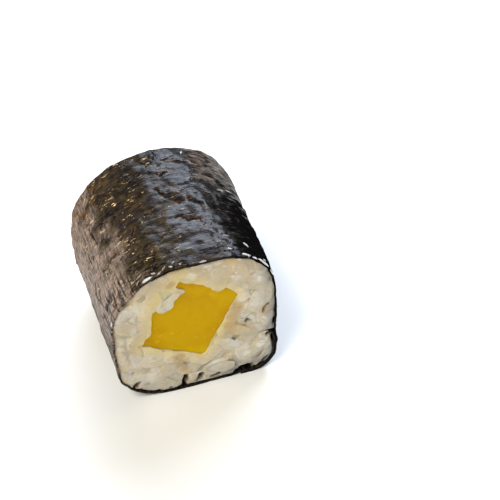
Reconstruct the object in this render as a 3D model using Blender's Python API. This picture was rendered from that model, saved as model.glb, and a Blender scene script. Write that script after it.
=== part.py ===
"""Pickled radish maki: one cut piece of a thin sushi roll that lies on its side.

The piece is a bar of yellow pickled radish in pressed rice, rolled in one sheet of nori.
Frame: metres, +Z up. The roll's axis runs along Y, the shown cut face looks towards -Y, and
the flattened side of the roll rests on Z = 0. The origin is at the centre of the underside.
Every outline is given as seen from the front, with X to the right, and runs counterclockwise.
"""

import math
import random
from typing import NamedTuple

import bmesh
import bpy
from mathutils import Matrix, Vector

MM = 0.001


class Corner(NamedTuple):
    """A corner of a rounded outline: its place before rounding, and its radius."""

    x: float
    z: float
    radius: float


# Roll: distance between the two knife cuts, and the outline's corners at either end,
# from the bottom left. The back end is a little wider and rounder than the front.
LENGTH = 26.4 * MM
FRONT_CORNERS = (
    Corner(-12.95 * MM, 0.0, 8.4 * MM),
    Corner(12.8 * MM, 0.0, 4.25 * MM),
    Corner(12.25 * MM, 27.2 * MM, 8.8 * MM),
    Corner(-14.25 * MM, 27.45 * MM, 11.65 * MM),
)
BACK_CORNERS = (
    Corner(-13.3 * MM, 0.0, 8.7 * MM),
    Corner(14.05 * MM, 0.0, 4.45 * MM),
    Corner(13.45 * MM, 27.55 * MM, 12.55 * MM),
    Corner(-14.65 * MM, 27.8 * MM, 13.8 * MM),
)
ROLL_ARC_POINTS = 14
ROLL_SIDE_POINTS = 8

# Nori: one sheet, wound once round and lapped. Its inner end is tucked into the rice on the
# right side, and its outer end lies on the underside.
NORI_THICKNESS = 0.3 * MM
LAYER_GAP = 0.12 * MM
TUCK_HEIGHT = 8.2 * MM
TUCK_PROFILE = ((-0.5 * MM, 1.5 * MM), (-0.35 * MM, 0.85 * MM), (0.0, 0.3 * MM), (0.5 * MM, 0.05 * MM))
FLAP_END_X = 7.1 * MM
STEP_CLEARANCE = 0.25 * MM
STEP_LENGTH = 1.6 * MM
SHEET_SPACING = 1.25 * MM
SHEET_ROWS = 9
RIM_WAVER = 0.12 * MM

# Dents pressed into the roll by hand, none where it rests. Each wave: height, whole waves
# round the roll, half waves along it, phase.
DENT_WAVES = ((0.06 * MM, 7, 1.3, 0.4), (0.05 * MM, 12, -2.2, 2.1), (0.04 * MM, 17, 3.1, 4.0))
DENT_FREE_HEIGHT = 4.0 * MM

# Pickled radish: one bar through the whole roll, with its corners from the lowest one. The
# fifth is an inner corner, because the bar is unevenly cut.
RADISH_CORNERS = (
    Corner(0.75 * MM, 6.85 * MM, 0.9 * MM),
    Corner(6.6 * MM, 19.1 * MM, 1.2 * MM),
    Corner(-2.95 * MM, 24.9 * MM, 0.8 * MM),
    Corner(-7.3 * MM, 21.0 * MM, 1.8 * MM),
    Corner(-7.6 * MM, 15.3 * MM, 1.5 * MM),
    Corner(-9.5 * MM, 12.3 * MM, 0.7 * MM),
)
RADISH_BACK_SHIFT = (0.5 * MM, -0.4 * MM)
RADISH_BACK_TURN = math.radians(-3.0)
RADISH_CENTRE = (-1.3 * MM, 16.0 * MM)
RADISH_ARC_POINTS = 4
RADISH_SIDE_POINTS = 2
RADISH_RECESS = 0.35 * MM
RADISH_SLICES = 8
RADISH_WAVE = 0.08 * MM

# Rice: a core with whole grains on both cut faces, cut off flush by the knife.
FIT_GAP = 0.3 * MM
RICE_PROUD = 0.4 * MM
CORE_RECESS = 0.6 * MM
CORE_INSET = 0.1 * MM
RICE_SPACING = 1.7 * MM
RICE_SLICES = 6
GRAIN_LENGTH = (5.0 * MM, 6.4 * MM)
GRAIN_WIDTH = (2.5 * MM, 3.0 * MM)
GRAIN_SEGMENTS = 6
GRAIN_RINGS = 4
GRAIN_DISTANCE = 2.75 * MM
GRAIN_TRIES = 6000
GRAIN_DEPTH = (0.1 * MM, 1.1 * MM)
GRAIN_TILT = math.radians(22.0)
GRAIN_EDGE_REACH = 3.2 * MM
# Grains that the knife smeared over the front end of the radish: x, z, depth, turn in degrees
SMEARED_GRAINS = (
    (-4.9 * MM, 22.0 * MM, 0.3 * MM, 12.0),
    (-6.6 * MM, 20.4 * MM, 0.6 * MM, 28.0),
    (3.3 * MM, 22.1 * MM, 0.5 * MM, -28.0),
)
SEED = 11


def clear_scene():
    """Remove every object of the open file."""
    for item in list(bpy.data.objects):
        bpy.data.objects.remove(item, do_unlink=True)


def make_material(name, colour, roughness):
    """Return a Principled material of one plain colour."""
    material = bpy.data.materials.new(name)
    material.use_nodes = True
    shader = material.node_tree.nodes["Principled BSDF"]
    shader.inputs["Base Color"].default_value = (*colour, 1.0)
    shader.inputs["Roughness"].default_value = roughness
    shader.inputs["Metallic"].default_value = 0.0
    return material


def smooth_step(value):
    """Return 0 below 0, 1 above 1, and a smooth rise between."""
    clamped = min(max(value, 0.0), 1.0)
    return clamped * clamped * (3.0 - 2.0 * clamped)


def blend(start, end, share):
    """Return the value at a share of the way from start to end."""
    return start + (end - start) * share


def corner_arc(previous, corner, following, count):
    """Return the points of the arc that rounds one corner."""
    place = Vector((corner.x, corner.z))
    back = (Vector((previous.x, previous.z)) - place).normalized()
    ahead = (Vector((following.x, following.z)) - place).normalized()
    half_angle = back.angle(ahead) / 2.0
    centre = place + (back + ahead).normalized() * corner.radius / math.sin(half_angle)
    first = place + back * corner.radius / math.tan(half_angle) - centre
    last = place + ahead * corner.radius / math.tan(half_angle) - centre
    sweep = math.atan2(first.cross(last), first.dot(last))
    return [centre + Matrix.Rotation(sweep * i / (count - 1), 2) @ first for i in range(count)]


def rounded_outline(corners, arc_points, side_points):
    """Return a closed outline with round corners and some points on each straight side."""
    count = len(corners)
    arcs = []
    for i in range(count):
        arcs.append(corner_arc(corners[i - 1], corners[i], corners[(i + 1) % count], arc_points))
    outline = []
    for i, arc in enumerate(arcs):
        outline.extend(arc)
        start = arc[-1]
        end = arcs[(i + 1) % count][0]
        outline.extend(start.lerp(end, (j + 1) / (side_points + 1)) for j in range(side_points))
    return outline


def outward_normals(outline):
    """Return the outward unit normal at each point of a counterclockwise outline."""
    count = len(outline)
    normals = []
    for i in range(count):
        along = outline[(i + 1) % count] - outline[i - 1]
        normals.append(Vector((along.y, -along.x)).normalized())
    return normals


def roll_outline(y):
    """Return the outer outline of the roll at a place along its length, without dents."""
    share = y / LENGTH + 0.5
    corners = [
        Corner(*(blend(near, far, share) for near, far in zip(front, back)))
        for front, back in zip(FRONT_CORNERS, BACK_CORNERS)
    ]
    return rounded_outline(corners, ROLL_ARC_POINTS, ROLL_SIDE_POINTS)


class RollSurface:
    """The roll's outer surface, measured clockwise round it from the tuck of the sheet."""

    def __init__(self):
        """Measure the outline half way along the roll, and find where the sheet begins."""
        outline = list(reversed(roll_outline(0.0)))
        self.count = len(outline)
        self.marks = [0.0]
        for i in range(self.count):
            step = (outline[(i + 1) % self.count] - outline[i]).length
            self.marks.append(self.marks[-1] + step)
        self.girth = self.marks[-1]
        self.tuck = self._crossing(outline, lambda p: p.x > 0.0 and p.y < TUCK_HEIGHT)
        flap = self._crossing(outline, lambda p: p.y < DENT_FREE_HEIGHT and p.x < FLAP_END_X)
        self.overlap = (flap - self.tuck) % self.girth

    def _crossing(self, outline, passed):
        """Return the mark where the outline, from its top right, first passes a test."""
        top = max(range(self.count), key=lambda i: outline[i].x + outline[i].y)
        for step in range(self.count):
            i = (top + step) % self.count
            if not passed(outline[i]):
                continue
            low, high = 0.0, 1.0
            before = outline[i - 1]
            for _ in range(24):
                middle = (low + high) / 2.0
                if passed(before.lerp(outline[i], middle)):
                    high = middle
                else:
                    low = middle
            start = self.marks[(i - 1) % self.count]
            return start + high * (outline[i] - before).length
        raise ValueError("the outline never passes the test")

    def dent(self, distance, y, height):
        """Return how far a dent or swelling moves the surface outwards."""
        turn = 2.0 * math.pi * distance / self.girth
        along = math.pi * y / LENGTH
        total = 0.0
        for size, waves, rows, phase in DENT_WAVES:
            total += size * math.sin(waves * turn + rows * along + phase)
        return total * smooth_step(height / DENT_FREE_HEIGHT)

    def frame(self, distance, y):
        """Return the surface point at a distance past the tuck, and the outward normal there."""
        outline = list(reversed(roll_outline(y)))
        mark = (self.tuck + distance) % self.girth
        i = max(k for k in range(self.count) if self.marks[k] <= mark)
        share = (mark - self.marks[i]) / (self.marks[i + 1] - self.marks[i])
        here = outline[i]
        after = outline[(i + 1) % self.count]
        along_here = after - outline[i - 1]
        along_after = outline[(i + 2) % self.count] - here
        along = along_here.normalized().lerp(along_after.normalized(), share)
        normal = Vector((-along.y, along.x)).normalized()
        point = here.lerp(after, share)
        return point + normal * self.dent(distance % self.girth, y, point.y), normal

    def point(self, distance, y, depth):
        """Return the point at a depth below the surface, as X, Y, Z."""
        place, normal = self.frame(distance, y)
        inner = place - normal * depth
        return Vector((inner.x, y, inner.y))

    def lapped(self, distance):
        """Return 1 where the sheet lies double, 0 where it lies single."""
        past_flap = distance - self.overlap - STEP_CLEARANCE
        return 1.0 - smooth_step(past_flap / STEP_LENGTH)


def spaced(start, end, spacing):
    """Return evenly spaced values from start to end, about one spacing apart."""
    steps = max(1, round((end - start) / spacing))
    return [blend(start, end, i / steps) for i in range(steps + 1)]


def sheet_stations(surface):
    """Return the distance and depth of the sheet's middle at each station, from the inner end."""
    middle = NORI_THICKNESS / 2.0
    lap_depth = NORI_THICKNESS + LAYER_GAP
    stations = [(along, middle + lap_depth + depth) for along, depth in TUCK_PROFILE]
    step_start = surface.overlap + STEP_CLEARANCE
    step_end = step_start + STEP_LENGTH
    distances = spaced(TUCK_PROFILE[-1][0], step_start, SHEET_SPACING)[1:]
    distances += spaced(step_start, step_end, SHEET_SPACING / 3.0)[1:]
    distances += spaced(step_end, surface.girth + surface.overlap, SHEET_SPACING)[1:]
    for distance in distances:
        stations.append((distance, middle + lap_depth * surface.lapped(distance)))
    return stations


def make_nori(surface, material):
    """Build the sheet of nori: a rolled surface that Solidify makes as thick as the sheet."""
    bm = bmesh.new()
    rows = []
    stations = sheet_stations(surface)
    for row in range(SHEET_ROWS + 1):
        share = 2.0 * row / SHEET_ROWS - 1.0
        verts = []
        for distance, depth in stations:
            turn = 2.0 * math.pi * distance / surface.girth
            waver = RIM_WAVER * (1.0 + math.sin(9.0 * turn + 2.0 * share)) / 2.0
            y = share * (LENGTH / 2.0 - waver)
            verts.append(bm.verts.new(surface.point(distance, y, depth)))
        rows.append(verts)
    for near, far in zip(rows, rows[1:]):
        for i in range(len(stations) - 1):
            bm.faces.new((near[i], near[i + 1], far[i + 1], far[i]))
    nori = add_mesh("nori_sheet", bm, material)
    wall = nori.modifiers.new("sheet_thickness", "SOLIDIFY")
    wall.thickness = NORI_THICKNESS
    wall.offset = 0.0
    wall.use_even_offset = True
    return nori


def add_mesh(name, bm, material=None):
    """Turn a bmesh into a named object of the scene."""
    mesh = bpy.data.meshes.new(name)
    bm.to_mesh(mesh)
    bm.free()
    if material is not None:
        mesh.materials.append(material)
    piece = bpy.data.objects.new(name, mesh)
    bpy.context.scene.collection.objects.link(piece)
    return piece


def loft(name, sections, material=None):
    """Build a closed solid through sections that have equally many points."""
    bm = bmesh.new()
    loops = [[bm.verts.new(point) for point in section] for section in sections]
    count = len(loops[0])
    for near, far in zip(loops, loops[1:]):
        for i in range(count):
            j = (i + 1) % count
            bm.faces.new((near[i], near[j], far[j], far[i]))
    bm.faces.new(loops[0])
    bm.faces.new(loops[-1])
    bmesh.ops.recalc_face_normals(bm, faces=bm.faces)
    return add_mesh(name, bm, material)


def radish_section(y, grow):
    """Return the radish outline at a place along the roll, grown outwards by a clearance."""
    share = y / LENGTH + 0.5
    outline = rounded_outline(RADISH_CORNERS, RADISH_ARC_POINTS, RADISH_SIDE_POINTS)
    normals = outward_normals(outline)
    centre = Vector(RADISH_CENTRE)
    turn = Matrix.Rotation(RADISH_BACK_TURN * share, 2)
    shift = Vector(RADISH_BACK_SHIFT) * share
    section = []
    for i, (point, normal) in enumerate(zip(outline, normals)):
        wave = RADISH_WAVE * math.sin(9.0 * math.pi * share + 0.9 * i) * math.sin(math.pi * share)
        moved = centre + turn @ (point + normal * (grow + wave) - centre) + shift
        section.append(Vector((moved.x, y, moved.y)))
    return section


def make_radish(name, grow, material=None):
    """Build the radish bar, or the same bar grown by a clearance on every side."""
    end = LENGTH / 2.0 - RADISH_RECESS + grow
    sections = [radish_section(y, grow) for y in spaced(-end, end, 2.0 * end / RADISH_SLICES)]
    return loft(name, sections, material)


def rice_section(surface, y, inset):
    """Return the outline of the room for rice inside the sheet, drawn in by an inset."""
    lap_depth = NORI_THICKNESS + LAYER_GAP
    section = []
    steps = round(surface.girth / RICE_SPACING)
    for i in range(steps):
        distance = surface.girth * i / steps
        depth = NORI_THICKNESS + FIT_GAP + inset + lap_depth * surface.lapped(distance)
        section.append(surface.point(distance, y, depth))
    return section


def make_rice_body(name, surface, reach, inset):
    """Build a solid that fills the sheet up to a reach on either side of the middle."""
    slices = spaced(-reach, reach, 2.0 * reach / RICE_SLICES)
    return loft(name, [rice_section(surface, y, inset) for y in slices])


def make_tuck_slot(surface):
    """Build the room that the tucked end of the sheet takes up in the rice."""
    lap_depth = NORI_THICKNESS * 1.5 + LAYER_GAP
    half = NORI_THICKNESS / 2.0 + FIT_GAP
    tip, near, bend = ((along, lap_depth + depth) for along, depth in TUCK_PROFILE[:3])
    corners = (
        (tip[0] - half, tip[1] + half),
        (tip[0] + half, tip[1] + half),
        (near[0] + half, near[1]),
        (bend[0] + 2.0 * half, bend[1] + half),
        (bend[0] + 3.0 * half, 0.0),
        (bend[0] - half, 0.0),
        (near[0] - half, near[1]),
    )
    reach = LENGTH / 2.0 + 2.0 * RICE_PROUD
    sections = []
    for y in spaced(-reach, reach, 2.0 * reach / RICE_SLICES):
        sections.append([surface.point(along, y, depth) for along, depth in corners])
    return loft("tuck_slot", sections)


def inside(outline, x, z):
    """Tell whether a point lies inside a closed outline."""
    hit = False
    for i, here in enumerate(outline):
        before = outline[i - 1]
        if (here.z > z) == (before.z > z):
            continue
        if x < here.x + (z - here.z) * (before.x - here.x) / (before.z - here.z):
            hit = not hit
    return hit


def nearest_edge(outline, x, z):
    """Return the distance to the nearest side of an outline, and that side's direction."""
    place = Vector((x, 0.0, z))
    best = (math.inf, 0.0)
    for i, here in enumerate(outline):
        before = outline[i - 1]
        side = Vector((here.x - before.x, 0.0, here.z - before.z))
        start = Vector((before.x, 0.0, before.z))
        share = min(max((place - start).dot(side) / side.length_squared, 0.0), 1.0)
        distance = (place - start - side * share).length
        if distance < best[0]:
            best = (distance, math.atan2(side.z, side.x))
    return best


def grain_places(surface, face, chance):
    """Choose where grains lie on one cut face, and how each is turned."""
    y = face * LENGTH / 2.0
    rim = rice_section(surface, y, 0.0)
    radish = radish_section(y, FIT_GAP)
    low_x = min(p.x for p in rim)
    high_x = max(p.x for p in rim)
    low_z = min(p.z for p in rim)
    high_z = max(p.z for p in rim)
    places = []
    for _ in range(GRAIN_TRIES):
        x = chance.uniform(low_x, high_x)
        z = chance.uniform(low_z, high_z)
        if not inside(rim, x, z) or inside(radish, x, z):
            continue
        if any(math.hypot(x - px, z - pz) < GRAIN_DISTANCE for px, pz, _turn in places):
            continue
        rim_distance, rim_turn = nearest_edge(rim, x, z)
        radish_distance, radish_turn = nearest_edge(radish, x, z)
        turn = chance.uniform(0.0, math.pi)
        if min(rim_distance, radish_distance) < GRAIN_EDGE_REACH / 2.0:
            edge_turn = rim_turn if rim_distance < radish_distance else radish_turn
            turn = edge_turn + chance.uniform(-0.5, 0.5)
        places.append((x, z, turn))
    return places


def add_grain(heap, place, size, turn, tilt):
    """Add one grain to the heap: a long ball with few sides."""
    length, width = size
    placing = (
        Matrix.Translation(place)
        @ Matrix.Rotation(-turn, 4, "Y")
        @ Matrix.Rotation(tilt, 4, "Z")
        @ Matrix.Diagonal((length, width * 0.9, width, 1.0))
    )
    bm = bmesh.new()
    bmesh.ops.create_uvsphere(bm, u_segments=GRAIN_SEGMENTS, v_segments=GRAIN_RINGS, radius=0.5)
    bmesh.ops.rotate(bm, verts=bm.verts, matrix=Matrix.Rotation(math.pi / 2.0, 3, "Y"))
    bmesh.ops.transform(bm, matrix=placing, verts=bm.verts)
    grain = add_mesh("grain", bm)
    bpy.context.scene.collection.objects.unlink(grain)
    heap.objects.link(grain)


def fill_heap(surface, chance):
    """Make the grains of both cut faces, in a collection of their own."""
    heap = bpy.data.collections.new("grains")
    bpy.context.scene.collection.children.link(heap)
    for face in (-1.0, 1.0):
        for x, z, turn in grain_places(surface, face, chance):
            size = (chance.uniform(*GRAIN_LENGTH), chance.uniform(*GRAIN_WIDTH))
            depth = chance.uniform(*GRAIN_DEPTH)
            tilt = chance.uniform(-GRAIN_TILT, GRAIN_TILT)
            place = Vector((x, face * (LENGTH / 2.0 - depth), z))
            add_grain(heap, place, size, turn, tilt)
    for x, z, depth, degrees in SMEARED_GRAINS:
        size = (GRAIN_LENGTH[0], GRAIN_WIDTH[0])
        place = Vector((x, depth - LENGTH / 2.0, z))
        add_grain(heap, place, size, math.radians(degrees), 0.0)
    return heap


def boolean(piece, operation, target):
    """Add a Boolean modifier whose operand is an object or a collection.

    The MANIFOLD solver cuts the many crossing grains alike on every run.
    """
    modifier = piece.modifiers.new(operation.lower(), "BOOLEAN")
    modifier.operation = operation
    modifier.solver = "MANIFOLD"
    if isinstance(target, bpy.types.Collection):
        modifier.operand_type = "COLLECTION"
        modifier.collection = target
    else:
        modifier.object = target


def apply_modifiers(piece):
    """Make the evaluated shape of a piece its own mesh."""
    graph = bpy.context.evaluated_depsgraph_get()
    applied = bpy.data.meshes.new_from_object(piece.evaluated_get(graph))
    piece.modifiers.clear()
    piece.data = applied


def signed_volume(faces):
    """Return the volume that a closed set of faces holds, negative for a hollow."""
    total = 0.0
    for face in faces:
        first = face.verts[0].co
        for one, two in zip(face.verts[1:], face.verts[2:]):
            total += first.dot(one.co.cross(two.co)) / 6.0
    return total


def keep_largest_body(piece):
    """Drop loose scraps and fill the hollows that the Boolean union sealed."""
    bm = bmesh.new()
    bm.from_mesh(piece.data)
    bmesh.ops.triangulate(bm, faces=bm.faces)
    bmesh.ops.remove_doubles(bm, verts=bm.verts, dist=0.002 * MM)
    bmesh.ops.dissolve_degenerate(bm, edges=bm.edges, dist=0.002 * MM)
    bodies = []
    waiting = set(bm.faces)
    while waiting:
        body = [waiting.pop()]
        for face in body:
            for edge in face.edges:
                for other in edge.link_faces:
                    if other in waiting:
                        waiting.remove(other)
                        body.append(other)
        bodies.append(body)
    bodies.sort(key=signed_volume)
    loose = [face for body in bodies[:-1] for face in body]
    bmesh.ops.delete(bm, geom=loose, context="FACES")
    bm.to_mesh(piece.data)
    bm.free()


def make_rice(surface, material):
    """Build the rice: core and grains joined, cut by the knife, the sheet and the radish."""
    reach = LENGTH / 2.0
    rice = make_rice_body("rice", surface, reach - CORE_RECESS, CORE_INSET)
    heap = fill_heap(surface, random.Random(SEED))
    boolean(rice, "UNION", heap)
    apply_modifiers(rice)
    for grain in list(heap.objects):
        bpy.data.objects.remove(grain, do_unlink=True)
    bpy.data.collections.remove(heap)
    room = make_rice_body("room", surface, reach + RICE_PROUD, 0.0)
    hole = make_radish("radish_hole", FIT_GAP)
    slot = make_tuck_slot(surface)
    boolean(rice, "INTERSECT", room)
    boolean(rice, "DIFFERENCE", hole)
    boolean(rice, "DIFFERENCE", slot)
    apply_modifiers(rice)
    for cutter in (room, hole, slot):
        bpy.data.objects.remove(cutter, do_unlink=True)
    keep_largest_body(rice)
    rice.data.materials.append(material)
    return rice


def shade_round(piece, degrees):
    """Shade a piece smooth, with edges sharper than an angle left sharp."""
    piece.data.shade_smooth()
    piece.data.set_sharp_from_angle(angle=math.radians(degrees))


def main():
    """Build the three pieces of the roll."""
    clear_scene()
    surface = RollSurface()
    nori = make_nori(surface, make_material("nori", (0.018, 0.016, 0.012), 0.45))
    rice = make_rice(surface, make_material("cooked_rice", (0.72, 0.66, 0.52), 0.5))
    radish = make_radish("pickled_radish", 0.0, make_material("pickled_radish", (0.62, 0.36, 0.01), 0.4))
    for piece in (nori, rice, radish):
        shade_round(piece, 50.0)


main()
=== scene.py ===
"""Fine shapes and finishes of a pickled radish maki, one cut piece of a thin sushi roll.

The piece lies on its flattened side. Its axis runs along Y, the shown cut face looks towards
-Y, and lengths are in metres, but in millimetres in the tables of corners, creases, gaps,
patches and bits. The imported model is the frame: each piece below stands in the place of one
of its nodes, and is worked out from the same named sizes.
"""

import logging
import math
import random
from dataclasses import dataclass, field
from enum import Enum
from functools import reduce
from typing import Callable, Optional, Sequence, Union

import bmesh
import bpy
import numpy as np
from mathutils import Matrix, Vector, noise
from mathutils.kdtree import KDTree


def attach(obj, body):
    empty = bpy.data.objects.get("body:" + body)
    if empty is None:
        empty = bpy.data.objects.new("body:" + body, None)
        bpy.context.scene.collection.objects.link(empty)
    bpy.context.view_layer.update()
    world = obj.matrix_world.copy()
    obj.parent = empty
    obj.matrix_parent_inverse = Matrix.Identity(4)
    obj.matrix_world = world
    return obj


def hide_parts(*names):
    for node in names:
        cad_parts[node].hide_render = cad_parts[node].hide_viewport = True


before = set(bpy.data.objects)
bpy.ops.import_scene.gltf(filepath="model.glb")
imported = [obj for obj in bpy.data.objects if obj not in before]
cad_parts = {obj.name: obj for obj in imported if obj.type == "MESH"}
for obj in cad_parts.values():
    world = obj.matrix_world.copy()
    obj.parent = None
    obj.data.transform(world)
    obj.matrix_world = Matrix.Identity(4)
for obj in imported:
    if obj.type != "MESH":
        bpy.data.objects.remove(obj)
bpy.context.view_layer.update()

LOG = logging.getLogger("maki")
MM = 0.001
Pair = tuple[float, float]
Triple = tuple[float, float, float]
Colour = Triple
Array = np.ndarray
Piece = bpy.types.Object
Mesh = bpy.types.Mesh
Material = bpy.types.Material
Tree = bpy.types.NodeTree
Level = Union["Signal", float]


class Face(Enum):
    """The two cut faces, by the direction that each one looks along Y."""

    FRONT = -1.0
    BACK = 1.0


@dataclass(frozen=True)
class Corner:
    """A corner of a rounded outline, before rounding, with its radius."""

    x: float
    z: float
    radius: float


@dataclass(frozen=True)
class Wave:
    """One of the waves that sum up to the dents in the roll."""

    height: float
    turns: int
    half_waves: float
    phase: float


@dataclass(frozen=True)
class Crease:
    """A short fold in the sheet: its middle, its length, its depth, its width and its direction."""

    along: float
    y: float
    length: float
    depth: float
    width: float
    degrees: float


@dataclass(frozen=True)
class Grain:
    """One grain of cooked rice: its middle, its turn in the cut face, its tilt and its size."""

    middle: Vector
    turn: float
    tilt: float
    length: float
    width: float


@dataclass(frozen=True)
class Pit:
    """A gap between grains in the cut face: its two ends, half its width and its depth."""

    x: float
    z: float
    end_x: float
    end_z: float
    radius: float
    depth: float


@dataclass(frozen=True)
class Patch:
    """A patch of another tone in the shown cut face: its middle, its radius and its strength."""

    x: float
    z: float
    radius: float
    strength: float


@dataclass(frozen=True)
class Smear:
    """A bit of starch, or a lump that stands in for a painted highlight, on the sheet: its middle, its
    size, its direction and how white it is.
    """

    along: float
    y: float
    length: float
    width: float
    degrees: float = 0.0
    white: float = 1.0


def table(kind: Callable, lengths: int, *rows: Sequence[float]) -> tuple:
    """Return one object for each row of numbers.

    Args:
        kind: What the rows describe.
        lengths: How many numbers at the start of a row are lengths in millimetres.
        *rows: The rows.

    Returns:
        The objects, with their lengths in metres.
    """
    return tuple(kind(*(value * MM for value in row[:lengths]), *row[lengths:]) for row in rows)


def smooth_step(value: Array | float) -> Array:
    """Return 0 below 0, 1 above 1, and a smooth rise between."""
    clamped = np.clip(value, 0.0, 1.0)
    return clamped * clamped * (3.0 - 2.0 * clamped)


def rounded_outline(corners: Sequence[Corner], arc_points: int, side_points: int) -> Array:
    """Return a closed outline with round corners.

    Args:
        corners: The corners in counterclockwise order as seen from the front.
        arc_points: The number of points on each corner's arc.
        side_points: The number of points on each straight side.

    Returns:
        The points, one row of X and Z each.
    """
    places = [Vector((corner.x, corner.z)) for corner in corners]
    arcs = []
    for i, corner in enumerate(corners):
        back = (places[i - 1] - places[i]).normalized()
        ahead = (places[(i + 1) % len(corners)] - places[i]).normalized()
        half = back.angle(ahead) / 2.0
        centre = places[i] + (back + ahead).normalized() * corner.radius / math.sin(half)
        first, last = (places[i] + way * corner.radius / math.tan(half) - centre for way in (back, ahead))
        sweep = math.atan2(first.cross(last), first.dot(last))
        turns = [Matrix.Rotation(sweep * k / (arc_points - 1), 2) for k in range(arc_points)]
        arcs.append([centre + turn @ first for turn in turns])
    points = []
    for i, arc in enumerate(arcs):
        end = arcs[(i + 1) % len(arcs)][0]
        points.extend(arc)
        points.extend(arc[-1].lerp(end, (k + 1) / (side_points + 1)) for k in range(side_points))
    return np.array([tuple(point) for point in points])


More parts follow.
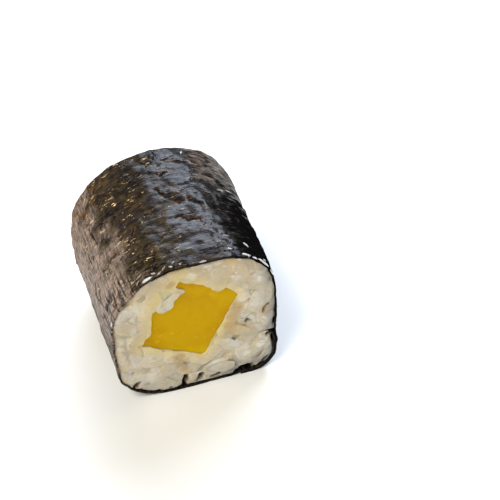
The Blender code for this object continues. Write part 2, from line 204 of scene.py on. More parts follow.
@dataclass
class RollForm:
    """The outer form of the roll, measured clockwise round it from the tuck of the sheet."""

    length: float = 26.4 * MM
    front: tuple[Corner, ...] = table(
        Corner, 3,
        (-12.95, 0.0, 8.4), (12.8, 0.0, 4.25), (12.25, 27.2, 8.8), (-14.25, 27.45, 11.65),
    )
    back: tuple[Corner, ...] = table(
        Corner, 3,
        (-13.3, 0.0, 8.7), (14.05, 0.0, 4.45), (13.45, 27.55, 12.55), (-14.65, 27.8, 13.8),
    )
    arc_points: int = 14
    side_points: int = 8
    slices: int = 9
    thickness: float = 0.3 * MM
    layer_gap: float = 0.12 * MM
    tuck_height: float = 8.2 * MM
    flap_end_x: float = 7.1 * MM
    halvings: int = 24
    step_clearance: float = 0.25 * MM
    step_length: float = 1.6 * MM
    dents: tuple[Wave, ...] = table(
        Wave, 1,
        (0.06, 7, 1.3, 0.4), (0.05, 12, -2.2, 2.1), (0.04, 17, 3.1, 4.0),
    )
    free_height: float = 4.0 * MM
    bump_size: float = 3.4 * MM
    bump_height: float = 0.16 * MM
    crinkle_size: float = 1.5 * MM
    crinkle_height: float = 0.11 * MM
    creases: tuple[Crease, ...] = table(
        Crease, 5,
        (69.0, -0.4, 4.6, 0.21, 0.39, -47.0), (65.9, 7.1, 4.4, 0.14, 0.23, 4.0),
        (64.8, 2.2, 6.8, 0.15, 0.28, -49.0), (70.1, 9.4, 3.6, 0.17, 0.23, -25.0),
        (66.6, -3.5, 6.0, 0.15, 0.25, -25.0), (72.0, 4.6, 4.0, 0.14, 0.23, -12.0),
        (51.0, 4.3, 9.5, 0.24, 0.3, -84.0), (52.6, -4.2, 7.0, 0.24, 0.3, 2.0),
        (46.5, -3.5, 3.2, 0.14, 0.23, 18.0), (57.6, -3.0, 4.6, 0.2, 0.23, 60.0),
        (48.3, -9.6, 3.4, 0.21, 0.25, 30.0), (43.0, 3.0, 7.0, 0.21, 0.28, 78.0),
        (80.0, -3.0, 5.0, 0.21, 0.28, -20.0), (86.0, 6.0, 5.0, 0.15, 0.28, 25.0),
        (30.0, -6.0, 5.0, 0.21, 0.28, -60.0),
    )
    rim_round: float = 0.16 * MM
    rim_reach: float = 1.8 * MM

    def __post_init__(self) -> None:
        """Lay out the outline at evenly spaced slices, and find the tuck and the flap."""
        self.reach = self.length / 2.0
        self.rings = np.array([self._outline(k / (self.slices - 1)) for k in range(self.slices)])
        ahead = np.roll(self.rings, -1, axis=1) - np.roll(self.rings, 1, axis=1)
        self.tangents = ahead / np.linalg.norm(ahead, axis=2, keepdims=True)
        middle = self._outline(0.5)
        steps = np.linalg.norm(np.roll(middle, -1, axis=0) - middle, axis=1)
        self.marks = np.concatenate(([0.0], np.cumsum(steps)))
        self.girth = float(self.marks[-1])
        self.tuck = self._crossing(middle, lambda p: p[0] > 0.0 and p[1] < self.tuck_height)
        flap = self._crossing(middle, lambda p: p[1] < self.free_height and p[0] < self.flap_end_x)
        self.overlap = (flap - self.tuck) % self.girth

    def _outline(self, share: float) -> Array:
        """Return the clockwise outline at a share of the way from the front to the back."""
        corners = []
        for near, far in zip(self.front, self.back):
            pairs = ((near.x, far.x), (near.z, far.z), (near.radius, far.radius))
            corners.append(Corner(*(one + (two - one) * share for one, two in pairs)))
        return rounded_outline(corners, self.arc_points, self.side_points)[::-1]

    def _crossing(self, outline: Array, passed: Callable[[Array], bool]) -> float:
        """Return the mark where the outline, from its top right, first passes a test.

        Args:
            outline: The clockwise outline half way along the roll.
            passed: The test, which takes a point.

        Returns:
            The distance from the outline's first point.
        """
        count = len(outline)
        top = int(np.argmax(outline.sum(axis=1)))
        i = next(k % count for k in range(top, top + count) if passed(outline[k % count]))
        step = outline[i] - outline[i - 1]
        low, high = 0.0, 1.0
        for _ in range(self.halvings):
            middle = (low + high) / 2.0
            low, high = (low, middle) if passed(outline[i - 1] + step * middle) else (middle, high)
        return float(self.marks[(i - 1) % count]) + high * float(np.linalg.norm(step))

    def dent(self, along: Array, y: Array) -> Array:
        """Return how far the dents move the surface outwards."""
        turn = 2.0 * math.pi * along / self.girth
        total = np.zeros_like(turn)
        for wave in self.dents:
            swing = wave.turns * turn + wave.half_waves * math.pi * y / self.length + wave.phase
            total += wave.height * np.sin(swing)
        return total

    def wrinkle(self, along: Array, y: Array) -> Array:
        """Return the relief that the grains below and the damp sheet give the surface.

        Args:
            along: Distances round the roll from the tuck.
            y: Places along the roll.

        Returns:
            How far each point stands out.
        """
        relief = np.empty(len(along))
        turn = 2.0 * math.pi * along / self.girth
        radius = self.girth / (2.0 * math.pi)
        for i, point in enumerate(zip(np.cos(turn) * radius, y, np.sin(turn) * radius)):
            place = Vector(point)
            cells = noise.voronoi(place / self.bump_size, distance_metric="DISTANCE", exponent=2.5)[0]
            bump = 0.5 - min(cells[0], 1.0)
            crinkle = noise.hetero_terrain(place / self.crinkle_size, 0.75, 2.1, 4, 0.35)
            relief[i] = bump * self.bump_height + (crinkle - 0.5) * self.crinkle_height
        for crease in self.creases:
            fade, aside = self._crease_reach(crease, along, y)
            lip = np.exp(-(((aside - 2.4) / 1.7) ** 2))
            relief -= crease.depth * fade * (np.exp(-(aside**2)) - 0.35 * lip)
        return relief

    def folded(self, along: Array, y: Array) -> Array:
        """Return how near each point lies to the bottom of a crease, from 0 to 1."""
        near = np.zeros(len(along))
        for crease in self.creases:
            fade, aside = self._crease_reach(crease, along, y)
            near = np.maximum(near, fade * np.exp(-((aside / 1.1) ** 2)))
        return near

    def _crease_reach(self, crease: Crease, along: Array, y: Array) -> tuple[Array, Array]:
        """Return how strong a crease is at each point, and how many widths away it runs."""
        swing = math.radians(crease.degrees)
        one = along - crease.along
        two = y - crease.y
        ahead = one * math.cos(swing) + two * math.sin(swing)
        aside = two * math.cos(swing) - one * math.sin(swing)
        fade = np.clip(1.0 - (2.0 * ahead / crease.length) ** 2, 0.0, 1.0)
        width = np.full(len(along), crease.width)
        for i in np.nonzero((fade > 0.0) & (np.abs(aside) < 3.0 * MM))[0]:
            place = Vector((ahead[i] / (1.3 * MM), crease.along / MM, 0.0))
            aside[i] += 0.7 * MM * noise.fractal(place, 1.0, 2.0, 3)
            width[i] *= 1.0 + 0.9 * noise.noise(place * 1.7)
        return fade, aside / width

    def place(self, along: Array, y: Array, depth: Array, relief: float = 1.0) -> Array:
        """Return points below the outer surface.

        Args:
            along: Distances round the roll from the tuck.
            y: Places along the roll.
            depth: How far below the surface each point lies.
            relief: The share of the wrinkles to use, none at 0.

        Returns:
            The points, one row of X, Y and Z each.
        """
        mark = (self.tuck + along) % self.girth
        i = np.clip(np.searchsorted(self.marks, mark, side="right") - 1, 0, len(self.marks) - 2)
        part = (mark - self.marks[i]) / (self.marks[i + 1] - self.marks[i])
        row = np.clip(y / self.length + 0.5, 0.0, 1.0) * (self.slices - 1)
        k = np.minimum(row.astype(int), self.slices - 2)
        tilt = (row - k)[:, None]
        after = (i + 1) % self.rings.shape[1]

        def read(rings: Array) -> Array:
            """Return what the rings give between their slices and their points."""
            here = rings[k, i] * (1.0 - tilt) + rings[k + 1, i] * tilt
            there = rings[k, after] * (1.0 - tilt) + rings[k + 1, after] * tilt
            return here * (1.0 - part[:, None]) + there * part[:, None]

        point = read(self.rings)
        tangent = read(self.tangents)
        tangent /= np.linalg.norm(tangent, axis=1, keepdims=True)
        normal = np.stack((-tangent[:, 1], tangent[:, 0]), axis=1)
        out = self.dent(along % self.girth, y)
        if relief > 0.0:
            out = out + relief * self.wrinkle(along % self.girth, y)
            edge = np.clip(1.0 - (self.reach - np.abs(y)) / self.rim_reach, 0.0, 1.0)
            out = out - self.rim_round * edge**2 * smooth_step((point[:, 1] - 12.0 * MM) / (8.0 * MM))
        out = out * smooth_step(point[:, 1] / self.free_height) - depth
        flat = point + normal * out[:, None]
        return np.stack((flat[:, 0], y, flat[:, 1]), axis=1)

    def lapped(self, along: Array) -> Array:
        """Return 1 where the sheet lies double, and 0 where it lies single."""
        return 1.0 - smooth_step((along - self.overlap - self.step_clearance) / self.step_length)

    def room(self, y: float, depth: float, count: int, relief: float = 1.0) -> Array:
        """Return the outline of the space inside the sheet.

        Args:
            y: The place along the roll.
            depth: How far inside the sheet's outer side the outline lies.
            count: The number of points.
            relief: The share of the wrinkles to follow.

        Returns:
            The points, one row of X, Y and Z each.
        """
        along = self.girth * np.arange(count) / count
        inset = depth + (self.thickness + self.layer_gap) * self.lapped(along)
        return self.place(along, np.full(count, y), inset, relief)


@dataclass
class RadishForm:
    """The bar of pickled radish: its cut outline, and how it shifts towards the back."""

    corners: tuple[Corner, ...] = table(
        Corner, 3,
        (0.75, 6.85, 0.9), (6.6, 19.1, 1.2), (-2.95, 24.9, 0.8), (-7.3, 21.0, 1.8), (-7.6, 15.3, 1.5),
        (-9.5, 12.3, 0.7),
    )
    window: tuple[Corner, ...] = table(
        Corner, 3,
        (0.75, 6.85, 0.9), (6.5, 19.0, 0.8), (4.4, 21.1, 0.5), (3.1, 20.4, 0.5), (0.6, 23.0, 0.8),
        (-1.4, 23.5, 0.6), (-2.9, 24.7, 0.35), (-3.6, 23.4, 0.2), (-1.9, 22.1, 0.25), (-3.4, 21.6, 0.4),
        (-4.4, 19.0, 0.6), (-5.6, 18.7, 0.4), (-6.5, 19.6, 0.3), (-7.35, 19.2, 0.3), (-7.6, 15.3, 1.3),
        (-9.5, 12.3, 0.6),
    )
    length: float = RollForm.length
    centre: Pair = (-1.3 * MM, 16.0 * MM)
    back_shift: Pair = (0.5 * MM, -0.4 * MM)
    back_turn: float = math.radians(-3.0)
    recess: float = 0.35 * MM
    swell: float = 0.17 * MM
    arc_points: int = 6
    side_points: int = 10

    def section(self, y: float, grow: float | Array, shown: bool = False) -> Array:
        """Return the bar's outline at a place along the roll.

        Args:
            y: The place along the roll.
            grow: How far the outline stands outside the bar.
            shown: Whether to return only what the rice leaves open at the shown cut.

        Returns:
            The points, one row of X, Y and Z each.
        """
        share = y / self.length + 0.5
        corners = self.window if shown else self.corners
        outline = rounded_outline(corners, self.arc_points, self.side_points)
        ahead = np.roll(outline, -1, axis=0) - np.roll(outline, 1, axis=0)
        ahead /= np.linalg.norm(ahead, axis=1, keepdims=True)
        grown = outline + np.stack((ahead[:, 1], -ahead[:, 0]), axis=1) * grow
        swing = self.back_turn * share
        turn = np.array(((math.cos(swing), -math.sin(swing)), (math.sin(swing), math.cos(swing))))
        moved = (grown - self.centre) @ turn.T + self.centre + np.array(self.back_shift) * share
        return np.stack((moved[:, 0], np.full(len(moved), y), moved[:, 1]), axis=1)

    def bar(self, name: str, grow: float, slices: int) -> Piece:
        """Return the bar as a solid.

        Args:
            name: The solid's name.
            grow: How far the solid's sides stand outside the bar.
            slices: The number of outlines along the bar.

        Returns:
            The solid.
        """
        end = self.length / 2.0 - self.recess + self.swell
        return loft(name, [self.section(y, grow) for y in np.linspace(-end, end, slices)])


def add_piece(name: str, bm: bmesh.types.BMesh) -> Piece:
    """Turn a bmesh, which is freed, into an object at the origin that is linked to the scene."""
    mesh = bpy.data.meshes.new(name)
    bm.to_mesh(mesh)
    bm.free()
    piece = bpy.data.objects.new(name, mesh)
    bpy.context.scene.collection.objects.link(piece)
    return piece


def apply_modifier(piece: Piece, kind: str, **settings: object) -> None:
    """Reshape a piece's own mesh with a modifier.

    Args:
        piece: The piece.
        kind: The modifier's type.
        **settings: Its settings.
    """
    modifier = piece.modifiers.new("shape", kind)
    for name, value in settings.items():
        setattr(modifier, name, value)
    graph = bpy.context.evaluated_depsgraph_get()
    applied = bpy.data.meshes.new_from_object(piece.evaluated_get(graph))
    applied.name = piece.name
    piece.modifiers.clear()
    piece.data = applied


def loft(name: str, sections: Sequence[Array]) -> Piece:
    """Build a closed solid through outlines that have equally many points.

    Args:
        name: The piece's name.
        sections: The outlines, in order along the roll.

    Returns:
        The new object.
    """
    bm = bmesh.new()
    bmesh.ops.create_circle(bm, segments=len(sections[0]), radius=1.0)
    ring = list(bm.verts)
    edges = list(bm.edges)
    for i, section in enumerate(sections):
        if i == 0:
            bmesh.ops.contextual_create(bm, geom=edges)
        else:
            made = bmesh.ops.extrude_edge_only(bm, edges=edges)["geom"]
            new = {item for item in made if isinstance(item, bmesh.types.BMVert)}
            ahead = ([edge.other_vert(vert) for edge in vert.link_edges] for vert in ring)
            ring = [next(vert for vert in verts if vert in new) for verts in ahead]
            edges = [e for e in made if isinstance(e, bmesh.types.BMEdge) and set(e.verts) <= new]
        for vert, point in zip(ring, section):
            vert.co = point
    bmesh.ops.contextual_create(bm, geom=edges)
    bmesh.ops.recalc_face_normals(bm, faces=bm.faces)
    return add_piece(name, bm)


def settle(piece: Piece) -> None:
    """List a piece's faces in a fixed order, because Blender may list them differently in each run."""
    faces = []
    for face in piece.data.polygons:
        corners = list(face.vertices)
        start = corners.index(min(corners))
        faces.append(corners[start:] + corners[:start])
    settled = bpy.data.meshes.new(piece.data.name)
    settled.from_pydata(read_points(piece.data), [], sorted(faces))
    piece.data = settled


def smooth(mesh: Mesh, chosen: Array, times: int) -> None:
    """Move vertices of a mesh of quads halfway to the middle of their neighbours.

    Args:
        mesh: The mesh.
        chosen: Which vertices move.
        times: How often they move.
    """
    corners = np.empty(len(mesh.loops), np.int32)
    mesh.loops.foreach_get("vertex_index", corners)
    ahead = np.roll(corners.reshape(-1, 4), -1, axis=1).ravel()
    count = np.maximum(np.bincount(corners, minlength=len(chosen)), 1)[:, None]
    points = read_points(mesh)
    for _ in range(times):
        sums = [np.bincount(corners, points[ahead, axis], len(chosen)) for axis in range(3)]
        points[chosen] += 0.5 * (np.stack(sums, axis=1) / count - points)[chosen]
    write_points(mesh, points)


def boolean(piece: Piece, operation: str, other: Piece) -> None:
    """Cut a piece with another or join another to it, and remove the other."""
    settle(piece)
    settle(other)
    apply_modifier(piece, "BOOLEAN", operation=operation, solver="MANIFOLD", object=other)
    bpy.data.objects.remove(other, do_unlink=True)


def read_points(mesh: Mesh) -> Array:
    """Return a mesh's vertices, one row each."""
    points = np.empty(len(mesh.vertices) * 3)
    mesh.vertices.foreach_get("co", points)
    return points.reshape(-1, 3)


def write_points(mesh: Mesh, points: Array) -> None:
    """Move a mesh's vertices to new places."""
    mesh.vertices.foreach_set("co", points.astype(np.float32).ravel())
    mesh.update()


def write_values(mesh: Mesh, name: str, values: Array) -> None:
    """Store one value for each vertex under a name that a material can read."""
    layer = mesh.attributes.new(name, "FLOAT", "POINT")
    layer.data.foreach_set("value", values.astype(np.float32))


def dress(piece: Piece, material: Material) -> Piece:
    """Give a piece smooth faces and its one material, and return it."""
    piece.data.shade_smooth()
    piece.data.materials.clear()
    piece.data.materials.append(material)
    return piece


@dataclass(frozen=True)
class Signal:
    """A node's output in a material, on which sums and further nodes can be put."""

    tree: Tree
    socket: bpy.types.NodeSocket

    def node(self, kind: str, inputs: dict, *rest: object, **named: object) -> "Signal":
        """Place another node in the same tree, as place_node does."""
        return place_node(self.tree, kind, inputs, *rest, **named)

    def math(self, operation: str, other: Level = 0.0) -> "Signal":
        """Return the result of a sum with another value."""
        return self.node("Math", {0: self, 1: other}, {"operation": operation})

    def __add__(self, other: Level) -> "Signal":
        """Return the sum with another value."""
        return self.math("ADD", other)

    def __sub__(self, other: Level) -> "Signal":
        """Return this less another value."""
        return self.math("SUBTRACT", other)

    def __rsub__(self, number: float) -> "Signal":
        """Return a number less this."""
        return self.node("Math", {0: number, 1: self}, {"operation": "SUBTRACT"})

    def __mul__(self, other: Level) -> "Signal":
        """Return the product with another value."""
        return self.math("MULTIPLY", other)

    def __abs__(self) -> "Signal":
        """Return the value without its sign."""
        return self.math("ABSOLUTE")

    def most(self, other: "Signal") -> "Signal":
        """Return the larger of two values."""
        return self.math("MAXIMUM", other)

    def axis(self, name: str) -> "Signal":
        """Return one part of a vector."""
        return self.node("SeparateXYZ", {"Vector": self}, output=name)

    def mapped(self, scale: Sequence[float], degrees: float = 0.0) -> "Signal":
        """Return a vector scaled, and turned about Z."""
        turn = (0.0, 0.0, math.radians(degrees))
        return self.node("Mapping", {"Vector": self, "Scale": scale, "Rotation": turn})

    def noise(self, scale: Level, detail: float, rough: float = 0.5, warp: float = 0.0) -> "Signal":
        """Return a noise value, read at a vector."""
        settings = {"Scale": scale, "Detail": detail, "Roughness": rough, "Distortion": warp}
        return self.node("TexNoise", {"Vector": self, **settings})

    def span(self, low: float, high: float, start: float = 0.0, end: float = 1.0) -> "Signal":
        """Return a value mapped smoothly from one span to another."""
        spans = {"From Min": low, "From Max": high, "To Min": start, "To Max": end}
        return self.node("MapRange", {"Value": self, **spans}, {"interpolation_type": "SMOOTHSTEP"})

    def blend(self, one: "Signal | Colour", two: Colour) -> "Signal":
        """Return one colour with another laid over it, where this is the share of the second."""
        return self.node("Mix", {"Factor": self, 6: one, 7: two}, {"data_type": "RGBA"}, 2)

    def ramp(self, stops: Sequence[Pair]) -> "Signal":
        """Return a value read off a soft curve through stops, each a place from 0 to 1 and its value."""
        made = self.node("ValToRGB", {"Fac": self})
        curve = made.socket.node.color_ramp
        curve.interpolation = "EASE"
        while len(curve.elements) < len(stops):
            curve.elements.new(1.0)
        for knot, (place, level) in zip(curve.elements, stops):
            knot.position = place
            knot.color = (level, level, level, 1.0)
        return made

    def bump(self, distance: float, strength: float = 1.0) -> "Signal":
        """Return the normals of a surface that has this height."""
        return self.node("Bump", {"Height": self, "Strength": strength, "Distance": distance})

    def stored(self, name: str) -> "Signal":
        """Return the value that the mesh stores under a name."""
        return self.node("Attribute", {}, {"attribute_name": name}, "Fac")

    def wet(self, scale: float, cover: float) -> "Signal":
        """Return a mask of moist patches at a place, from the shared group."""
        inputs = {"Place": self, "Scale": scale, "Cover": cover}
        return self.node("Group", inputs, {"node_tree": wet_group()})


def feed(node: bpy.types.Node, inputs: dict) -> None:
    """Give a node's inputs, by name or number, their values, or join them to signals."""
    for name, value in inputs.items():
        socket = node.inputs[name]
        if isinstance(value, Signal):
            value.tree.links.new(value.socket, socket)
        else:
            socket.default_value = (*value, 1.0) if socket.type == "RGBA" else value


def place_node(
    tree: Tree, kind: str, inputs: dict, settings: Optional[dict] = None, output: int | str = 0
) -> Signal:
    """Place a node.

    Args:
        tree: The tree that it goes in.
        kind: The node's type, without its ShaderNode prefix.
        inputs: Values or signals for its inputs, by name or number.
        settings: Properties to set on the node.
        output: The name or number of the output to return.

    Returns:
        One of the new node's outputs.
    """
    made = tree.nodes.new("ShaderNode" + kind)
    for name, value in (settings or {}).items():
        setattr(made, name, value)
    feed(made, inputs)
    return Signal(tree, made.outputs[output])


def layered(colour: Signal, *layers: tuple[Signal, Colour]) -> Signal:
    """Return a colour with others laid over it in order, each by its share."""
    return reduce(lambda below, layer: layer[0].blend(below, layer[1]), layers, colour)


def wet_group() -> Tree:
    """Return the shared group for patches of moisture, made once.

    Returns:
        A group that turns a place, a patch scale and a cover into a mask.
    """
    name = "wet_patches"
    if name in bpy.data.node_groups:
        return bpy.data.node_groups[name]
    group = bpy.data.node_groups.new(name, "ShaderNodeTree")
    kinds = {"Place": "Vector", "Scale": "Float", "Cover": "Float"}
    for label, kind in kinds.items():
        group.interface.new_socket(label, in_out="INPUT", socket_type="NodeSocket" + kind)
    group.interface.new_socket("Mask", in_out="OUTPUT", socket_type="NodeSocketFloat")
    start = group.nodes.new("NodeGroupInput")
    place, scale, cover = (Signal(group, start.outputs[label]) for label in kinds)
    mask = (place.noise(scale, 4.0) - (1.0 - cover) * 0.7) * 5.0
    feed(group.nodes.new("NodeGroupOutput"), {"Mask": mask.node("Clamp", {"Value": mask})})
    return group


def new_material(name: str) -> tuple[Material, bpy.types.Node]:
    """Return an empty material and its Principled shader."""
    material = bpy.data.materials.new(name)
    material.use_nodes = True
    return material, material.node_tree.nodes["Principled BSDF"]


def object_place(material: Material) -> Signal:
    """Return the places on the object, as a material reads them."""
    return place_node(material.node_tree, "TexCoord", {}, output="Object")


@dataclass(frozen=True)
class NoriFinish:
    """Damp nori: near-black slate with brown flecks, golden painted glints, folds darkened by painted
    shade, patches of sheen, a painted sheen on its left side and far right shoulder, and a painted shadow
    on its right shoulder.
    """

    deep: Colour = (0.0035, 0.0035, 0.0035)
    brown: Colour = (0.0185, 0.011, 0.006)
    olive: Colour = (0.027, 0.0225, 0.0065)
    dusk: Colour = (0.4, 0.28, 0.205)
    rust: Colour = (0.15, 0.066, 0.022)
    straw: Colour = (0.08, 0.05, 0.02)
    gold: Colour = (0.9, 0.62, 0.3)
    sheet_span: float = 120.0
    damp: tuple[Pair, ...] = (
        (0.0, 0.4), (0.33, 0.5), (0.4, 0.5), (0.45, 0.34), (0.47, 0.08), (0.49, 0.1),
        (0.57, 0.55), (0.61, 0.72), (0.66, 0.66), (0.72, 0.3), (0.8, 0.3), (1.0, 0.4),
    )
    bloom: tuple[Pair, ...] = (
        (0.0, 0.2), (0.3, 0.3), (0.36, 0.9), (0.42, 0.82),
        (0.47, 0.08), (0.6, 0.0), (0.75, 0.1), (1.0, 0.3),
    )
    shoulder: tuple[Pair, ...] = (
        (0.0, 0.0), (0.59, 0.0), (0.64, 0.8), (0.69, 0.5), (0.74, 0.0), (1.0, 0.0),
    )
    golden: tuple[Pair, ...] = (
        (0.0, 0.3), (0.38, 0.35), (0.44, 0.9), (0.5, 1.0), (0.55, 0.35), (0.64, 0.15), (1.0, 0.3),
    )

    def build(self) -> Material:
        """Return the material, which reads the sheet's own UV map in millimetres."""
        material, shader = new_material("damp_nori")
        uv = place_node(material.node_tree, "UVMap", {}, {"uv_map": "sheet"})
        x, y = uv.axis("X"), uv.axis("Y")
        place = uv.mapped((self.sheet_span, self.sheet_span, 1.0))
        blotch = place.noise(0.24, 5.0, 0.6, 0.5)
        mottle = place.noise(0.8, 4.0, 0.58, 0.6)
        streak = self._strokes(place, x.span(0.5, 0.44))
        web = self._fibres(place, 0.55, (20.0, 68.0, -35.0))
        fine = self._fibres(place, 2.0, (5.0, 95.0, 50.0))
        straws = self._flecks(place, 0.9, (75.0, -40.0, 15.0), (0.59, 0.67))
        clusters = place.noise(0.42, 3.0, 0.55, 0.4).span(0.47, 0.6)
        glints = self._flecks(place, 1.3, (60.0, -55.0, 20.0), (0.65, 0.71)) * clusters
        crease = place.stored("folded")
        fold = self._folds(place).most(crease.span(0.25, 0.85, 0.0, 0.85))
        lips = crease.span(0.02, 0.2, 0.0, 0.4) * mottle.span(0.46, 0.56)
        shift = (blotch - 0.5) * 0.2
        across = x + shift + (y - 0.5) * 0.2
        golden = across.ramp(self.golden)
        worn = golden * blotch.span(0.4, 0.55)
        # Painted sheen: the pale grazing reflection on the left side and the far right shoulder is
        # painted into the colour, broken into streaks near the front rim.
        frayed = y.span(0.45, 0.41) * streak.span(0.55, 0.46)
        near = across.ramp(self.bloom) * streak.span(0.36, 0.6, 0.28, 1.0) * (1.0 - frayed * 0.8)
        far = y.span(0.52, 0.56) * across.ramp(self.shoulder)
        bloom = near.most(far * streak.span(0.46, 0.62, 0.0, 0.65))
        rough = mottle * 0.09 + streak * 0.07
        ragged = x + rough + shift * 0.3
        back = y + (streak - 0.5) * 0.25
        # Painted shade: the right shoulder towards the front, and a band along the front rim on both
        # sides, are painted near black and lose their coat.
        shaded = ragged.span(0.668, 0.7) * back.span(0.545, 0.505) * (across + rough).span(0.98, 0.76)
        sides = across.span(0.56, 0.64).most(across.span(0.32, 0.26))
        dry = shaded.most(y.span(0.412, 0.397) * (sides * 0.75))
        scorched = y.span(0.55, 0.6) * across.span(0.5, 0.47) * blotch.span(0.44, 0.52)
        colour = layered(
            mottle.span(0.46, 0.72).blend(self.deep, self.brown),
            (worn * mottle.span(0.45, 0.6), self.olive),
            (bloom, self.dusk),
            (web.span(0.8, 0.97) * 0.3, self.brown),
            (straws * (golden * 0.8), self.straw),
            # Painted highlight: small golden glints are painted into the colour.
            (glints * golden, self.gold),
            (scorched * mottle.span(0.44, 0.54), self.rust),
            (lips, self.rust),
            # Painted shade: the folds are painted near black.
            (fold, self.deep),
            (dry * 0.9, self.deep),
        )
        speck = place.noise(1.8, 3.0, 0.6, 0.4).span(0.32, 0.58, 0.75, 1.0)
        cloudy = mottle.span(0.34, 0.56, 0.72, 1.0) * streak.span(0.3, 0.58, 0.72, 1.0)
        damp = across.ramp(self.damp) * (speck * cloudy) * (1.0 - fold.most(dry))
        height = web * 0.45 + fine * 0.1 + mottle * 1.1 + streak * 1.4 - fold * 1.4
        film = mottle * 1.1 + streak * 1.2 - fold * 1.2
        feed(shader, {
            "Base Color": colour,
            "Roughness": mottle.span(0.3, 0.7, 0.5, 0.7),
            "Normal": height.bump(0.09 * MM),
            "Coat Weight": damp * y.span(0.57, 0.46, 0.8, 1.15),
            "Coat Normal": film.bump(0.06 * MM),
            "Coat Roughness": 0.27,
            "Specular IOR Level": 0.0,
        })
        return material

    @staticmethod
    def _strokes(place: Signal, lengthwise: Signal) -> Signal:
        """Return soft strokes, which run along the roll where the second value is 1, else round it."""
        ahead = place.mapped((2.2, 0.36, 1.0), 6.0).noise(1.0, 3.0, 0.58, 0.5)
        around = place.mapped((0.45, 1.9, 1.0), -14.0).noise(0.9, 3.0, 0.58, 0.6)
        return around + (ahead - around) * lengthwise

    @staticmethod
    def _folds(place: Signal) -> Signal:
        """Return short folds, each a thin line that fades at its ends, which the colour paints dark as
        painted shade.
        """
        layers = ((12.0, 0.42), (-70.0, 0.5))
        waves = (place.mapped((0.4, 1.0, 1.0), turn).noise(rate, 3.0, 0.45, 0.5) for turn, rate in layers)
        lines = reduce(Signal.most, (abs(wave - 0.5).span(0.02, 0.005) for wave in waves))
        return lines * place.noise(0.4, 3.0, 0.5, 0.3).span(0.54, 0.62, 0.0, 0.8)

    @staticmethod
    def _flecks(place: Signal, rate: float, turns: Sequence[float], edge: Pair) -> Signal:
        """Return short straight flecks, like bits of straw.

        Args:
            place: Places on the sheet in millimetres.
            rate: How small the flecks are.
            turns: The direction of each layer of flecks, in degrees.
            edge: The noise values at which a fleck starts and is full.

        Returns:
            A value that is near 1 on a fleck.
        """
        layers = (place.mapped((0.55, 1.7, 1.0), turn).noise(rate, 2.0, 0.55, 0.8) for turn in turns)
        return reduce(Signal.most, (layer.span(*edge) for layer in layers))

    @staticmethod
    def _fibres(place: Signal, scale: float, turns: Sequence[float]) -> Signal:
        """Return thin crossing ridges.

        Args:
            place: Places on the sheet in millimetres.
            scale: How fine the fibres are.
            turns: The direction of each layer of fibres, in degrees.

        Returns:
            A value that is near 1 on a fibre.
        """
        layers = (place.mapped((0.32, 1.5, 1.0), turn).noise(scale, 3.0, 0.55, 0.7) for turn in turns)
        return reduce(Signal.most, (1.0 - abs(layer - 0.5) * 5.0 for layer in layers))


@dataclass(frozen=True)
class RiceFinish:
    """Cooked rice: creamy, slightly see-through grains, yellow by the radish, grey by the nori, with
    painted shade in its gaps and seams, painted shade at the top and painted light at the bottom.
    """

    pale: Colour = (0.675, 0.585, 0.435)
    cream: Colour = (0.47, 0.39, 0.25)
    glassy: Colour = (0.4, 0.345, 0.25)
    hollow: Colour = (0.012, 0.009, 0.006)
    stain: Colour = (0.72, 0.55, 0.21)
    cool: Colour = (0.66, 0.625, 0.55)
    tan: Colour = (0.47, 0.275, 0.065)
    white: Colour = (0.735, 0.695, 0.575)
    honey: Colour = (0.62, 0.46, 0.21)
    butter: Colour = (0.51, 0.395, 0.215)
    grey: Colour = (0.2, 0.185, 0.165)
    scatter: Colour = (1.0, 0.8, 0.55)

    def build(self) -> Material:
        """Return the material, which reads the values stored on the rice mesh."""
        material, shader = new_material("cooked_rice")
        place = object_place(material)
        level = place.axis("Z")
        tone, near = place.stored("grain_tone"), place.stored("radish_near")
        cloud = place.noise(260.0, 4.0, 0.6)
        veil = place.noise(620.0, 4.0, 0.6, 0.6)
        warmth = place.noise(330.0, 3.0, 0.55, 0.5)
        grit = place.noise(1500.0, 3.0, 0.6, 0.5)
        faint = place.noise(190.0, 3.0, 0.5, 0.5).span(0.42, 0.6, 0.0, 0.8) * near.span(0.6, 0.2)
        colour = layered(
            (tone * 0.8 + cloud * 1.1).span(0.6, 1.3).blend(self.cream, self.pale),
            (veil.span(0.5, 0.36, 0.0, 0.6), self.glassy),
            # Painted light and shade: whiter towards the bottom of the cut face, darker and yellower
            # towards the top.
            (level.span(10.0 * MM, 3.0 * MM, 0.0, 0.45), self.white),
            (level.span(18.0 * MM, 24.0 * MM, 0.0, 0.75), self.butter),
            (warmth.span(0.52, 0.64, 0.0, 0.6), self.honey),
            (warmth.span(0.48, 0.36, 0.0, 0.65) * near.span(0.35, 0.05), self.cool),
            (grit.span(0.5, 0.36, 0.0, 0.3), self.glassy),
            (grit.span(0.52, 0.64, 0.0, 0.2), self.honey),
            (place.stored("grain_white").most(veil.span(0.6, 0.68, 0.0, 0.7)), self.white),
            (near * cloud.span(0.25, 0.6, 0.35, 0.9), self.stain),
            (place.stored("grain_tan"), self.tan),
            (place.stored("rim_glass") * tone.span(0.25, 0.65, 0.25, 1.0), self.grey),
            # Painted shade: the seams between grains are tinted greyer and darker.
            (place.stored("grain_seam") * faint, self.glassy),
            # Painted shade: deep gaps between grains are painted near black.
            (place.stored("grain_hollow"), self.hollow),
        )
        height = place.noise(2600.0, 4.0, 0.6) + place.noise(900.0, 3.0, 0.5) * 2.0
        feed(shader, {
            "Base Color": colour,
            "Roughness": cloud.span(0.3, 0.7, 0.28, 0.5),
            "Normal": height.bump(0.12 * MM, 0.7),
            "Coat Weight": place.wet(420.0, 0.5) * 0.4,
            "Coat Roughness": 0.12,
            "Subsurface Weight": 0.7,
            "Subsurface Radius": self.scatter,
            "Subsurface Scale": 1.0 * MM,
        })
        return material


